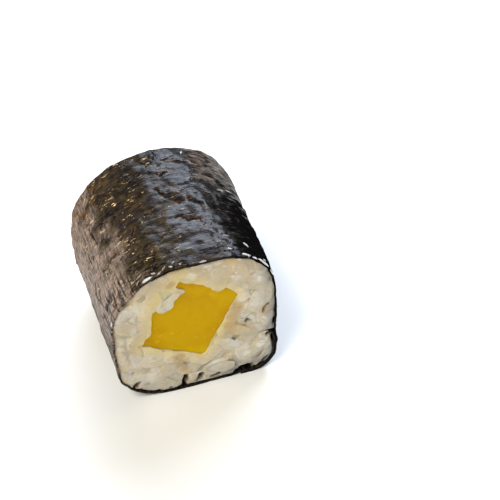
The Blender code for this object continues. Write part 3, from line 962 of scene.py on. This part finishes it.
@dataclass(frozen=True)
class StarchFinish:
    """Starch on the nori: whitish or straw-brown, glossy and slightly see-through; it also colours the
    lumps of painted highlight.
    """

    white: Colour = (0.66, 0.63, 0.57)
    straw: Colour = (0.24, 0.15, 0.09)
    scatter: Colour = (1.0, 0.85, 0.65)

    def build(self) -> Material:
        """Return the material, which reads places on the object."""
        material, shader = new_material("starch")
        place = object_place(material)
        cloud = place.noise(900.0, 3.0, 0.5)
        share = place.stored("whiteness") + (cloud - 0.5)
        feed(shader, {
            "Base Color": share.span(0.1, 0.9).blend(self.straw, self.white),
            "Roughness": cloud.span(0.3, 0.7, 0.2, 0.4),
            "Coat Weight": place.wet(900.0, 0.7) * 0.8,
            "Coat Roughness": 0.08,
            "Subsurface Weight": 0.3,
            "Subsurface Radius": self.scatter,
            "Subsurface Scale": 0.2 * MM,
        })
        return material


@dataclass(frozen=True)
class RadishFinish:
    """Pickled radish: moist, dense yellow with faint pale fibres and warmer patches, and painted shade
    along its upper cut edges.
    """

    yellow: Colour = (0.585, 0.345, 0.0)
    warm: Colour = (0.55, 0.29, 0.0)
    light: Colour = (0.67, 0.45, 0.002)
    bruise: Colour = (0.5, 0.19, 0.0)
    fleck: Colour = (0.82, 0.6, 0.06)
    scatter: Colour = (1.0, 0.55, 0.08)

    def build(self) -> Material:
        """Return the material, which reads places on the object."""
        material, shader = new_material("pickled_radish")
        place = object_place(material)
        cloud = place.noise(170.0, 4.0, 0.6, 0.4)
        threads = place.mapped((1.0, 0.25, 1.0)).noise(1500.0, 4.0, 0.6)
        crowd = place.noise(260.0, 2.0, 0.5).span(0.42, 0.6)
        spots = place.noise(950.0, 3.0, 0.6, 0.5).span(0.62, 0.72) * crowd
        colour = layered(
            cloud.span(0.4, 0.65).blend(self.yellow, self.warm),
            # Lighter towards the bottom of the bar.
            (place.axis("Z").span(10.5 * MM, 7.5 * MM) * 0.7, self.light),
            (threads.span(0.6, 0.75, 0.0, 0.35), self.light),
            (spots * 0.6, self.fleck),
            # Painted shade: the upper edges of the cut are painted darker orange.
            (place.stored("cut_edge") * cloud.span(0.42, 0.55, 0.1, 0.8), self.bruise),
        )
        feed(shader, {
            "Base Color": colour,
            "Roughness": cloud.span(0.3, 0.7, 0.3, 0.48),
            "Normal": (place.noise(1800.0, 5.0, 0.65) + threads).bump(0.06 * MM, 0.3),
            "Coat Weight": place.wet(300.0, 0.4) * 0.06,
            "Coat Roughness": 0.15,
            "Specular IOR Level": 0.03,
            "Subsurface Weight": 0.35,
            "Subsurface Radius": self.scatter,
            "Subsurface Scale": 1.5 * MM,
        })
        return material


@dataclass
class NoriSheet:
    """The sheet of nori, rolled once round the rice and lapped."""

    form: RollForm
    cell: float = 0.26 * MM
    tuck_profile: tuple[Pair, ...] = table(
        lambda *pair: pair, 2, (-0.5, 1.5), (-0.35, 0.85), (0.0, 0.3), (0.5, 0.05), (1.2, 0.0)
    )
    waver: float = 0.12 * MM
    nibble: float = 0.1 * MM
    uv_span: float = 120.0 * MM

    def build(self) -> Piece:
        """Return the rolled sheet with its wrinkles, its ragged cut edges and its UV map."""
        form = self.form
        start = self.tuck_profile[0][0]
        end = form.girth + form.overlap
        columns, rows = (round(size / self.cell) for size in (end - start, form.length))
        bm = bmesh.new()
        bmesh.ops.create_grid(bm, x_segments=columns, y_segments=rows, size=0.5, calc_uvs=False)
        flat = np.array([vert.co[:] for vert in bm.verts])
        along = start + (flat[:, 0] + 0.5) * (end - start)
        share = 2.0 * flat[:, 1]
        y = share * (form.reach - self._edge_waver(along, share))
        for vert, place in zip(bm.verts, form.place(along, y, self._depth(along))):
            vert.co = place
        layer = bm.loops.layers.uv.new("sheet")
        for loop in (loop for face in bm.faces for loop in face.loops):
            i = loop.vert.index
            loop[layer].uv = ((along[i] - start) / self.uv_span, y[i] / self.uv_span + 0.5)
        piece = add_piece("nori_wrap", bm)
        write_values(piece.data, "folded", form.folded(along % form.girth, y))
        wall = piece.modifiers.new("sheet_thickness", "SOLIDIFY")
        wall.thickness = form.thickness
        wall.offset = 0.0
        return dress(piece, NoriFinish().build())

    def _depth(self, along: Array) -> Array:
        """Return the depth of the sheet's middle along it, with its lap and its tuck."""
        lap = (self.form.thickness + self.form.layer_gap) * self.form.lapped(along)
        return self.form.thickness / 2.0 + lap + np.interp(along, *zip(*self.tuck_profile))

    def _edge_waver(self, along: Array, share: Array) -> Array:
        """Return how far the knife cut falls short of the sheet's full width."""
        turn = 2.0 * math.pi * along / self.form.girth
        wave = self.waver * (1.0 + np.sin(9.0 * turn + 2.0 * share)) / 2.0
        places = (Vector((a / (0.8 * MM), round(s), 0.0)) for a, s in zip(along, share))
        ragged = np.array([noise.noise(place) for place in places])
        return wave + self.nibble * np.clip(ragged, 0.0, 1.0) * np.abs(share) ** 8


@dataclass
class RiceBody:
    """The rice: a core with fused grains on both cut faces, pressed flat by the knife."""

    form: RollForm
    radish: RadishForm
    proud: float = 0.3 * MM
    slab: float = 2.6 * MM
    voxel: float = 0.16 * MM
    room_points: int = 220
    rim_points: int = 200
    slices: int = 9
    lengths: Pair = (4.9 * MM, 6.3 * MM)
    widths: Pair = (2.1 * MM, 2.8 * MM)
    layers: tuple[Triple, ...] = table(
        lambda *row: row, 3,
        (2.8, -0.1, 0.6), (2.5, 0.8, 1.4), (2.1, 1.5, 2.1),
    )
    tries: int = 4000
    flat_share: float = 0.78
    flat_tilt: float = math.radians(20.0)
    steep_tilt: float = math.radians(75.0)
    edge_reach: float = 1.7 * MM
    rim_fall: float = 0.42 * MM
    rim_width: float = 1.3 * MM
    pits: tuple[Pit, ...] = table(
        Pit, 6,
        (11.2, 8.4, 12.6, 8.0, 0.36, 1.5), (6.1, 0.7, 8.1, 0.9, 0.5, 2.2), (6.3, 1.2, 8.0, 1.4, 0.6, 2.6),
        (-0.2, 1.6, 0.05, 2.4, 0.42, 2.3), (1.8, 1.4, 3.0, 1.6, 0.24, 1.6),
        (-2.4, 3.0, -2.6, 1.7, 0.24, 1.5), (-2.6, 1.7, -3.1, 0.2, 0.3, 2.0),
        (-3.1, 0.2, 0.4, 0.2, 0.32, 1.8), (3.4, 0.2, 5.4, 0.4, 0.3, 1.6),
        (-5.4, 0.3, -5.0, 0.9, 0.26, 1.2), (-7.6, 0.4, -7.1, 1.1, 0.3, 1.5),
        (-10.7, 3.0, -10.2, 4.1, 0.28, 1.2), (10.2, 2.1, 10.8, 2.5, 0.24, 1.4),
        (9.2, 0.8, 10.2, 1.2, 0.26, 1.2), (12.2, 7.0, 12.6, 5.4, 0.34, 1.4),
        (12.3, 10.2, 12.5, 11.0, 0.28, 0.9), (10.4, 13.7, 11.0, 14.9, 0.22, 0.8),
        (7.8, 12.0, 8.0, 12.2, 0.22, 0.8),
    )
    tans: tuple[Patch, ...] = table(
        Patch, 3,
        (6.1, 15.8, 0.9, 0.6), (5.4, 14.2, 1.1, 0.6), (5.0, 12.4, 1.1, 0.65), (4.9, 10.9, 0.8, 0.45),
        (-3.4, 7.9, 0.9, 0.65), (-3.0, 6.6, 1.0, 0.65), (-2.7, 5.0, 0.6, 0.6), (-4.2, 24.2, 0.7, 0.7),
        (10.6, 14.2, 0.9, 0.5),
    )
    whites: tuple[Patch, ...] = table(
        Patch, 3,
        (9.9, 6.2, 0.8, 1.0), (7.6, 4.9, 0.6, 0.8), (-8.0, 4.7, 1.0, 0.6), (9.6, 21.3, 0.4, 1.0),
        (-1.0, 25.0, 0.8, 0.9), (2.6, 4.9, 0.6, 0.8), (7.2, 17.6, 1.1, 0.7), (-4.1, 21.8, 1.3, 0.3),
        (-12.0, 14.5, 0.7, 0.6), (-8.4, 10.9, 1.7, 0.5), (-5.9, 9.5, 1.5, 0.5), (-8.8, 20.9, 1.6, 0.4),
    )
    greys: tuple[Patch, ...] = table(
        Patch, 3,
        (5.3, 2.1, 1.3, 1.0), (3.2, 2.4, 0.9, 0.45), (9.1, 2.6, 1.1, 0.5), (-8.5, 2.4, 1.3, 1.0),
        (-6.1, 2.1, 1.0, 0.45), (-12.1, 6.8, 0.8, 0.4), (11.6, 12.9, 1.1, 1.0), (11.4, 10.1, 1.0, 0.9),
    )
    lobe_size: float = 1.1 * MM
    lobe_depth: float = 0.55 * MM
    shown_lobe: float = 0.34 * MM
    blends: int = 3
    press_share: float = 0.14
    starch_share: float = 0.72
    warp_size: float = 0.8 * MM
    warp: float = 0.35 * MM
    spread: float = 6.0 * MM
    sharp_angle: float = math.radians(60.0)
    seed: int = 11
    samples: list[Array] = field(default_factory=list)

    def build(self) -> Piece:
        """Return the rice in one body, with the values that its material reads."""
        chance = random.Random(self.seed)
        noise.seed_set(self.seed)
        reach = self.form.reach
        inner = reach - self.slab
        body = self._room("rice_grains", (-inner - 0.1 * MM, inner + 0.1 * MM), 0.3 * MM, self.slices)
        for face in Face:
            slab = self._fused(face, self._scatter(face, chance), chance)
            ends = (face.value * inner, face.value * (reach + 2.0 * self.proud))
            boolean(slab, "INTERSECT", self._room("rice_room", ends, 0.0, self.slices))
            boolean(body, "UNION", slab)
        bar = self.radish.bar("radish_room", 0.16 * MM, self.slices)
        for cutter in (bar, *(self._window(face) for face in Face)):
            boolean(body, "DIFFERENCE", cutter)
        self._store_values(body)
        dress(body, RiceFinish().build())
        body.data.set_sharp_from_angle(angle=self.sharp_angle)
        return body

    def _room(self, name: str, ends: Pair, inset: float, slices: int) -> Piece:
        """Return a solid that fills the sheet between two places along the roll.

        Args:
            name: The solid's name.
            ends: The two places.
            inset: How far the solid stays inside the sheet.
            slices: The number of outlines along the solid.

        Returns:
            The solid.
        """
        start, end = sorted(ends)
        depth = self.form.thickness - 0.03 * MM + inset
        steps = [start + (end - start) * k / (slices - 1) for k in range(slices)]
        return loft(name, [self.form.room(y, depth, self.room_points)[::-1] for y in steps])

    def _window(self, face: Face) -> Piece:
        """Return what to cut away in front of the radish, out to the lobes of rice round it."""
        reach = self.form.reach
        cut = face.value * reach
        shown = face is Face.FRONT
        depth = self.shown_lobe if shown else self.lobe_depth
        ends = (face.value * (reach - self.radish.recess - 0.05 * MM), face.value * (reach + 2.0 * MM))
        sections = []
        for y in np.linspace(*sorted(ends), self.slices):
            section = self.radish.section(y, 0.0, shown)
            lobes = np.array([noise.noise(Vector((x, cut, z)) / self.lobe_size) for x, _y, z in section])
            grow = depth * (lobes - 0.4) + 0.12 * (abs(y) - reach)
            sections.append(self.radish.section(y, grow[:, None], shown))
        return loft("radish_window", sections)

    def _scatter(self, face: Face, chance: random.Random) -> list[Grain]:
        """Choose where the grains of one cut face lie.

        Args:
            face: The cut face.
            chance: The source of random numbers.

        Returns:
            The grains, those nearest to the face first.
        """
        cut = face.value * self.form.reach
        rim = self.form.room(cut, self.form.thickness, 90, 0.0)[:, (0, 2)]
        bar = self.radish.section(cut, 0.2 * MM, True)[:, (0, 2)]
        low, high = rim.min(axis=0), rim.max(axis=0)
        grains: list[Grain] = []
        for spacing, shallow, deep in self.layers:
            taken: list[Pair] = []
            for _ in range(self.tries):
                x, z = chance.uniform(low[0], high[0]), chance.uniform(low[1], high[1])
                if not inside(rim, x, z) or inside(bar, x, z):
                    continue
                if any(math.hypot(x - a, z - b) < spacing for a, b in taken):
                    continue
                taken.append((x, z))
                far, beside = min(nearest_side(outline, x, z) for outline in (bar, rim))
                turn = chance.uniform(0.0, math.pi)
                if far < self.edge_reach:
                    turn = beside + chance.uniform(-0.5, 0.5)
                y = face.value * (self.form.reach - chance.uniform(shallow, deep))
                steepest = self.flat_tilt if chance.random() < self.flat_share else self.steep_tilt
                tilt = chance.uniform(-steepest, steepest)
                size = (chance.uniform(*self.lengths), chance.uniform(*self.widths))
                grains.append(Grain(Vector((x, y, z)), turn, tilt, *size))
        return grains

    def _fused(self, face: Face, kinds: Sequence[Grain], chance: random.Random) -> Piece:
        """Return the grains of one cut face, fused with a slab of rice and pressed by the knife.

        Args:
            face: The cut face.
            kinds: The grains.
            chance: The source of random numbers.

        Returns:
            The fused grains. What they give each point is kept in the samples.
        """
        reach = self.form.reach
        ends = (face.value * (reach - self.slab - 0.6 * MM), face.value * (reach - 1.7 * MM))
        slab = self._room("slab", ends, -0.3 * MM, 3)
        joined = join_grains(kinds)
        joined.from_mesh(slab.data)
        bpy.data.objects.remove(slab, do_unlink=True)
        fused = add_piece("fused_rice", joined)
        apply_modifier(fused, "REMESH", mode="VOXEL", voxel_size=self.voxel)
        smooth(fused.data, np.ones(len(fused.data.vertices), bool), 1)
        points = read_points(fused.data)
        owner, seam = grain_seams(points, kinds)
        tones = np.array([chance.random() for _ in kinds])
        shifts = np.array([noise.noise_vector(Vector(point) / self.warp_size) for point in points])
        flat = (points + shifts * self.warp)[:, (0, 2)] * (-face.value, 1.0)
        depth = self._press(fused.data, face, flat)
        # How deep a point lies in a gap, for the painted shade there.
        hollow = smooth_step((depth - 0.4 * MM) / (0.8 * MM))
        values = (tones[owner], seam, patched(flat, self.tans), patched(flat, self.whites), hollow)
        self.samples.append(np.column_stack((read_points(fused.data), *values)))
        return fused

    def _press(self, mesh: Mesh, face: Face, flat: Array) -> Array:
        """Flatten what stands out past the knife cut, and fill the gaps where starch smears.

        Args:
            mesh: The fused grains.
            face: The cut face.
            flat: Each vertex's place in the face, slightly warped.

        Returns:
            How deep each vertex now lies behind the cut.
        """
        reach = self.form.reach
        points = read_points(mesh)
        depth = reach - points[:, 1] * face.value
        smear = self._smear(points)
        filled = (0.22 + 0.9 * (1.0 - smear) ** 2) * MM
        sunk = np.minimum(depth * (1.0 - self.starch_share * smear), filled)
        pressed = np.where(depth < 0.0, depth * self.press_share, sunk)
        shallow = smooth_step((self.slab - depth) / (0.8 * MM))
        depth = depth + (pressed - depth) * np.where(depth < 0.0, 1.0, shallow)
        cut = face.value * reach
        rim = outline_distance(self.form.room(cut, self.form.thickness, self.rim_points), points)
        depth += shallow * self.rim_fall * np.clip(1.0 - rim / self.rim_width, 0.0, 1.0) ** 2
        for pit in self.pits:
            away = segment_distance(flat, (pit.x, pit.z), (pit.end_x, pit.end_z))
            depth += shallow * pit.depth * smooth_step(1.5 - away / pit.radius)
        bar = self.radish.section(cut, 0.15 * MM)[:, (0, 2)]
        cover = self.radish.recess - self.radish.swell - 0.12 * MM
        depth = np.where(inside_all(bar, points) & (depth < 2.0 * MM), np.minimum(depth, cover), depth)
        points[:, 1] = face.value * (reach - depth)
        write_points(mesh, points)
        smooth(mesh, (smear > 0.5) & (depth < 1.0 * MM), self.blends)
        return depth

    def _smear(self, points: Array) -> Array:
        """Return how far the starch smears over each point, least low down."""
        slope = (points[:, 2] - 0.1 * points[:, 0]) / (30.0 * MM)
        patch = np.array([noise.noise(Vector(point) / self.spread) for point in points])
        low = smooth_step((5.0 * MM - points[:, 2]) / (4.0 * MM))
        return np.clip(0.67 + 0.36 * slope + 0.45 * patch - 0.27 * low, 0.0, 0.86)

    def _store_values(self, body: Piece) -> None:
        """Store each point's grain tone, and how near it is to a seam, the radish and the nori."""
        points = read_points(body.data)
        samples = np.concatenate(self.samples)
        tree = KDTree(len(samples))
        for i, sample in enumerate(samples):
            tree.insert(sample[:3], i)
        tree.balance()
        tone, seam, tan, white, hollow = samples[[tree.find(point)[1] for point in points], 3:].T
        cut = -self.form.reach
        rim = outline_distance(self.form.room(cut, self.form.thickness, self.rim_points, 0.0), points)
        bar = outline_distance(self.radish.section(cut, 0.0), points)
        x, y, z = points.T
        right = smooth_step((x - 8.0 * MM) / (5.0 * MM))
        low = np.maximum(smooth_step((7.5 * MM - z) / (6.0 * MM)), right)
        corner = smooth_step((x - 4.0 * MM) / (6.0 * MM)) * smooth_step((10.0 * MM - z) / (5.0 * MM))
        side = 0.55 + 0.45 * smooth_step((x + 2.0 * MM) / (5.0 * MM))
        glass = np.clip(1.3 - rim / (2.4 * MM + 1.0 * MM * corner), 0.0, 1.0) * (0.12 + 0.88 * low * side)
        flat = np.stack((-np.sign(y) * x, z), axis=1)
        values = {
            "grain_tone": tone,
            "grain_seam": seam,
            "grain_tan": tan,
            "grain_white": white,
            "grain_hollow": hollow * smooth_step((bar - 0.3 * MM) / (0.5 * MM)),
            "rim_glass": np.maximum(glass, patched(flat, self.greys)),
            "radish_near": np.clip(1.0 - bar / (3.4 * MM), 0.0, 1.0) ** 2,
        }
        for name, numbers in values.items():
            write_values(body.data, name, numbers)


def patched(flat: Array, patches: Sequence[Patch]) -> Array:
    """Return how strongly patches colour each place in the cut face."""
    strength = np.zeros(len(flat))
    for patch in patches:
        away = np.hypot(flat[:, 0] - patch.x, flat[:, 1] - patch.z)
        strength = np.maximum(strength, patch.strength * smooth_step(1.5 - away / patch.radius))
    return strength


def inside(outline: Array, x: float, z: float) -> bool:
    """Tell whether a place lies inside a closed outline of X and Z rows."""
    before = np.roll(outline, 1, axis=0)
    spans = (outline[:, 1] > z) != (before[:, 1] > z)
    here, last = outline[spans], before[spans]
    crossing = here[:, 0] + (z - here[:, 1]) * (last[:, 0] - here[:, 0]) / (last[:, 1] - here[:, 1])
    return int(np.count_nonzero(x < crossing)) % 2 == 1


def inside_all(outline: Array, points: Array) -> Array:
    """Tell for each point, seen along the roll, whether it lies inside a closed outline."""
    odd = np.zeros(len(points), bool)
    x, z = points[:, 0], points[:, 2]
    for here, last in zip(outline, np.roll(outline, 1, axis=0)):
        if here[1] != last[1]:
            crossing = here[0] + (z - here[1]) * (last[0] - here[0]) / (last[1] - here[1])
            odd ^= ((here[1] > z) != (last[1] > z)) & (x < crossing)
    return odd


def nearest_side(outline: Array, x: float, z: float) -> Pair:
    """Return the distance to an outline's nearest point, and the outline's direction there."""
    far = np.hypot(outline[:, 0] - x, outline[:, 1] - z)
    i = int(np.argmin(far))
    side = outline[(i + 1) % len(outline)] - outline[i - 1]
    return float(far[i]), math.atan2(side[1], side[0])


def outline_distance(outline: Array, points: Array) -> Array:
    """Return how far each point lies from a closed outline, seen along the roll."""
    starts, flat = outline[:, (0, 2)], points[:, (0, 2)]
    ends = np.roll(starts, -1, axis=0)
    return reduce(np.minimum, (segment_distance(flat, start, end) for start, end in zip(starts, ends)))


def segment_distance(flat: Array, start: Sequence[float], end: Sequence[float]) -> Array:
    """Return how far each place in the cut face lies from a line in it."""
    offset = flat - np.array(start)
    edge = np.array(end) - np.array(start)
    share = np.clip(offset @ edge / (edge @ edge), 0.0, 1.0)
    return np.hypot(*(offset - share[:, None] * edge).T)


def grain_seams(points: Array, grains: Sequence[Grain]) -> tuple[Array, Array]:
    """Return each point's own grain, and how near it lies to the seam with the next one.

    Args:
        points: The points of the fused grains.
        grains: The grains.

    Returns:
        The grains' numbers, and values that rise to 1 on a seam.
    """
    owner = np.zeros(len(points), int)
    first, second = np.full((2, len(points)), 9.0)
    for i, grain in enumerate(grains):
        offset = points - np.array(grain.middle)
        near = np.nonzero(np.abs(offset).max(axis=1) < grain.length * 0.8)[0]
        shape = np.array(grain_matrix(grain).to_3x3().inverted())
        far = 2.0 * np.linalg.norm(offset[near] @ shape.T, axis=1)
        closer = far < first[near]
        second[near] = np.where(closer, first[near], np.minimum(second[near], far))
        first[near] = np.where(closer, far, first[near])
        owner[near[closer]] = i
    return owner, np.clip(1.0 - (second - first) / 0.3, 0.0, 1.0) ** 1.5


def grain_matrix(grain: Grain) -> Matrix:
    """Return the matrix that shapes and places a ball of unit size as one grain."""
    turn = Matrix.Rotation(-grain.turn, 4, "Y") @ Matrix.Rotation(grain.tilt, 4, "Z")
    size = Matrix.Diagonal((grain.length, grain.width * 0.9, grain.width, 1.0))
    return Matrix.Translation(grain.middle) @ turn @ size


def join_grains(grains: Sequence[Grain]) -> bmesh.types.BMesh:
    """Return all grains in one bmesh, as long balls with blunt ends and a slight bend."""
    ball = bmesh.new()
    bmesh.ops.create_uvsphere(ball, u_segments=16, v_segments=12, radius=0.5)
    bmesh.ops.rotate(ball, verts=ball.verts, matrix=Matrix.Rotation(math.pi / 2.0, 3, "Y"))
    for vert in ball.verts:
        x = vert.co.x * 2.0
        blunt = 1.0 + 0.16 * x * x
        vert.co.y *= blunt
        vert.co.z = vert.co.z * blunt - 0.1 * x * x
    unit = bpy.data.meshes.new("grain")
    ball.to_mesh(unit)
    ball.free()
    bm = bmesh.new()
    for grain in grains:
        shaped = unit.copy()
        shaped.transform(grain_matrix(grain))
        bm.from_mesh(shaped)
        bpy.data.meshes.remove(shaped)
    bpy.data.meshes.remove(unit)
    return bm


@dataclass
class RadishBar:
    """The bar of pickled radish, cut off flush with the rice."""

    form: RollForm
    radish: RadishForm
    voxel: float = 0.24 * MM
    slices: int = 13
    grow: float = 0.14 * MM

    def build(self) -> Piece:
        """Return the bar with softened edges and a slightly uneven surface."""
        bar = self.radish.bar("radish_bar", self.grow, self.slices)
        apply_modifier(bar, "REMESH", mode="VOXEL", voxel_size=self.voxel)
        bm = bmesh.new()
        bm.from_mesh(bar.data)
        axes = {"use_axis_x": True, "use_axis_y": True, "use_axis_z": True}
        bmesh.ops.smooth_vert(bm, verts=bm.verts, factor=0.5, **axes)
        bm.normal_update()
        for vert in bm.verts:
            vert.co += vert.normal * 0.05 * MM * noise.fractal(vert.co / (2.5 * MM), 0.9, 2.0, 4)
        bm.to_mesh(bar.data)
        bm.free()
        points = read_points(bar.data)
        cut = self.radish.recess - self.radish.swell - self.form.reach
        rim = outline_distance(self.radish.section(cut, 0.0), points)
        # The upper part of the cut edge, where the material paints shade.
        high = smooth_step((points[:, 2] + 0.25 * points[:, 0] - 17.0 * MM) / (4.0 * MM))
        write_values(bar.data, "cut_edge", np.clip(1.0 - rim / (1.3 * MM), 0.0, 1.0) * high)
        return dress(bar, RadishFinish().build())


@dataclass
class StarchSmears:
    """The bits of starch that the knife leaves on the cut edges of the nori, and three lumps out on the
    sheet that are painted highlights.
    """

    form: RollForm
    thickness: float = 0.22 * MM
    marks: tuple[Smear, ...] = table(
        Smear, 4,
        (77.3, -12.75, 2.9, 0.62, -6.0), (80.9, -12.9, 2.3, 0.5, 0.0), (74.9, -12.9, 1.3, 0.36, 10.0),
        (73.0, -12.7, 1.7, 0.3, -12.0), (73.9, -10.4, 1.1, 0.42, -35.0), (70.4, -11.4, 0.9, 0.3, -20.0),
        (83.6, -11.2, 1.3, 0.4, 50.0), (58.0, -12.75, 1.7, 0.42, 4.0, 0.9),
        (56.4, -12.3, 0.9, 0.3, 40.0, 0.2), (56.9, -11.4, 1.3, 0.34, 12.0, 0.15),
        (59.3, -12.2, 0.9, 0.3, -22.0, 0.35), (60.3, -12.7, 0.8, 0.28, 15.0, 0.25),
        (61.2, -12.3, 0.9, 0.26, 30.0, 0.3), (62.3, -12.6, 0.6, 0.35, -10.0, 0.5),
        (62.9, -11.9, 0.8, 0.28, 35.0, 0.2), (66.2, -12.9, 0.7, 0.26, 0.0, 0.5),
        # Painted highlights: these three lumps stand where light glints on the sheet.
        (70.9, 11.6, 0.9, 0.26, 70.0, 0.4), (74.6, 3.0, 1.7, 0.3, 20.0, 0.5),
        (76.6, 3.8, 1.3, 0.3, 10.0, 0.4),
    )
    loose: int = 22
    clear: float = 2.0 * MM
    loose_lengths: Pair = (0.35 * MM, 0.9 * MM)
    seed: int = 5

    def build(self) -> Piece:
        """Return all the bits in one piece, each a flat lump that follows the sheet."""
        chance = random.Random(self.seed)
        smears = list(self.marks)
        for i in range(self.loose):
            along = chance.uniform(0.08, 0.97) * self.form.girth
            length = chance.uniform(*self.loose_lengths)
            inset = chance.choice((0.3, 0.35, 0.5, 1.2)) * MM
            y = (-1.0 if i % 2 else 1.0) * (self.form.reach - inset)
            width = length * chance.uniform(0.35, 0.6)
            swing, white = chance.uniform(-40.0, 40.0), chance.uniform(0.2, 0.8)
            smears.append(Smear(along, y, length, width, swing, white))
        bm = bmesh.new()
        whites = []
        for smear in smears:
            middle = self.form.place(np.array([smear.along]), np.array([smear.y]), np.zeros(1), 0.0)
            if middle[0, 2] > self.clear:
                made = bmesh.ops.create_icosphere(bm, subdivisions=2, radius=0.5)["verts"]
                self._lay(made, smear)
                whites.extend([smear.white] * len(made))
        bmesh.ops.recalc_face_normals(bm, faces=bm.faces)
        piece = add_piece("starch_and_glint_lumps", bm)
        write_values(piece.data, "whiteness", np.array(whites))
        return dress(piece, StarchFinish().build())

    def _lay(self, verts: Sequence[bmesh.types.BMVert], smear: Smear) -> None:
        """Shape a ball into one bit and lay it on the sheet.

        Args:
            verts: The ball's vertices, around the origin.
            smear: The bit.
        """
        ball = np.array([vert.co[:] for vert in verts])
        middle = Vector((smear.along, smear.y, 0.0)) / MM
        lumps = np.array([noise.noise(Vector(point) * 2.6 + middle) for point in ball])
        ball *= (1.0 + 0.5 * lumps)[:, None]
        swing = math.radians(smear.degrees)
        one, two = ball[:, 0] * smear.length, ball[:, 1] * smear.width
        along = smear.along + one * math.cos(swing) - two * math.sin(swing)
        y = smear.y + one * math.sin(swing) + two * math.cos(swing)
        y = np.clip(y, -self.form.reach, self.form.reach)
        lift = ball[:, 2] * self.thickness + 0.03 * MM
        for vert, place in zip(verts, self.form.place(along, y, -lift)):
            vert.co = place


@dataclass(frozen=True)
class Softbox:
    """A rectangular studio light that looks at the piece."""

    name: str
    place: Triple
    size: Pair
    watts: float
    colour: Colour
    roll: float = 0.0


@dataclass
class Studio:
    """The floor, the softboxes and the camera."""

    camera_place: Triple = (-36.82 * MM, -147.97 * MM, 168.37 * MM)
    elevation: float = math.radians(44.74)
    azimuth: float = math.radians(-18.46)
    focal_pixels: float = 1363.0
    picture_pixels: float = 500.0
    sensor: float = 36.0
    floor_size: float = 6.0
    floor_colour: Colour = (0.95, 0.94, 0.88)
    sky: Colour = (0.1, 0.1, 0.1)
    boxes: tuple[Softbox, ...] = (
        Softbox("back", (0.46, 0.95, 0.9), (1.5, 0.55), 31.0, (0.75, 0.83, 1.0), math.radians(-27.0)),
        Softbox("key", (-0.6, -0.4, 1.15), (0.55, 0.55), 14.5, (1.0, 0.99, 0.97)),
        Softbox("left", (-1.0, 0.8, 0.35), (0.8, 0.4), 4.0, (1.0, 0.86, 0.72)),
        Softbox("fill", (-0.3, -1.2, 0.7), (1.0, 0.8), 2.2, (1.0, 0.98, 0.96)),
    )

    def build(self) -> None:
        """Set up the floor, the lights, the sky and the camera."""
        self._floor()
        for box in self.boxes:
            self._light(box)
        scene = bpy.context.scene
        scene.world = bpy.data.worlds.new("studio")
        scene.world.use_nodes = True
        feed(scene.world.node_tree.nodes["Background"], {"Color": self.sky})
        self._camera()
        scene.view_settings.view_transform = "Standard"

    def _floor(self) -> None:
        """Lay a plain pale floor under the piece."""
        bm = bmesh.new()
        bmesh.ops.create_grid(bm, x_segments=1, y_segments=1, size=self.floor_size / 2.0)
        floor = add_piece("floor", bm)
        material, shader = new_material("pale_floor")
        feed(shader, {"Base Color": self.floor_colour, "Roughness": 0.75})
        floor.data.materials.append(material)

    def _light(self, box: Softbox) -> None:
        """Hang one softbox and turn it to the piece."""
        lamp = bpy.data.lights.new(box.name, "AREA")
        lamp.shape = "RECTANGLE"
        lamp.size, lamp.size_y = box.size
        lamp.energy = box.watts
        lamp.color = box.colour
        light = bpy.data.objects.new(box.name, lamp)
        light.location = box.place
        aim = (-Vector(box.place)).to_track_quat("-Z", "Y").to_matrix()
        light.rotation_euler = (aim @ Matrix.Rotation(box.roll, 3, "Z")).to_euler()
        bpy.context.scene.collection.objects.link(light)

    def _camera(self) -> None:
        """Stand the camera where the photograph was taken from."""
        lens = bpy.data.cameras.new("camera")
        lens.sensor_width = self.sensor
        lens.lens = self.focal_pixels / self.picture_pixels * self.sensor
        lens.clip_start = 0.01
        camera = bpy.data.objects.new("camera", lens)
        camera.location = self.camera_place
        camera.rotation_euler = (math.pi / 2.0 - self.elevation, 0.0, self.azimuth)
        bpy.context.scene.collection.objects.link(camera)
        bpy.context.scene.camera = camera


def hand_over(piece: Piece, node: Optional[str]) -> None:
    """Let a piece ride on the roll, stand for a node of the frame if it has one, and report it.

    Args:
        piece: The finished piece.
        node: The node that it replaces, if any.
    """
    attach(piece, "root")
    if node is not None:
        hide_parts(node)
    LOG.info("%s: %d faces", piece.name, len(piece.data.polygons))


def main() -> None:
    logging.basicConfig(level=logging.INFO, format="%(name)s %(message)s")
    roll = RollForm()
    radish = RadishForm()
    hand_over(NoriSheet(roll).build(), "nori_sheet")
    hand_over(RiceBody(roll, radish).build(), "rice")
    hand_over(RadishBar(roll, radish).build(), "pickled_radish")
    hand_over(StarchSmears(roll).build(), None)
    Studio().build()


if __name__ == "__main__":
    main()
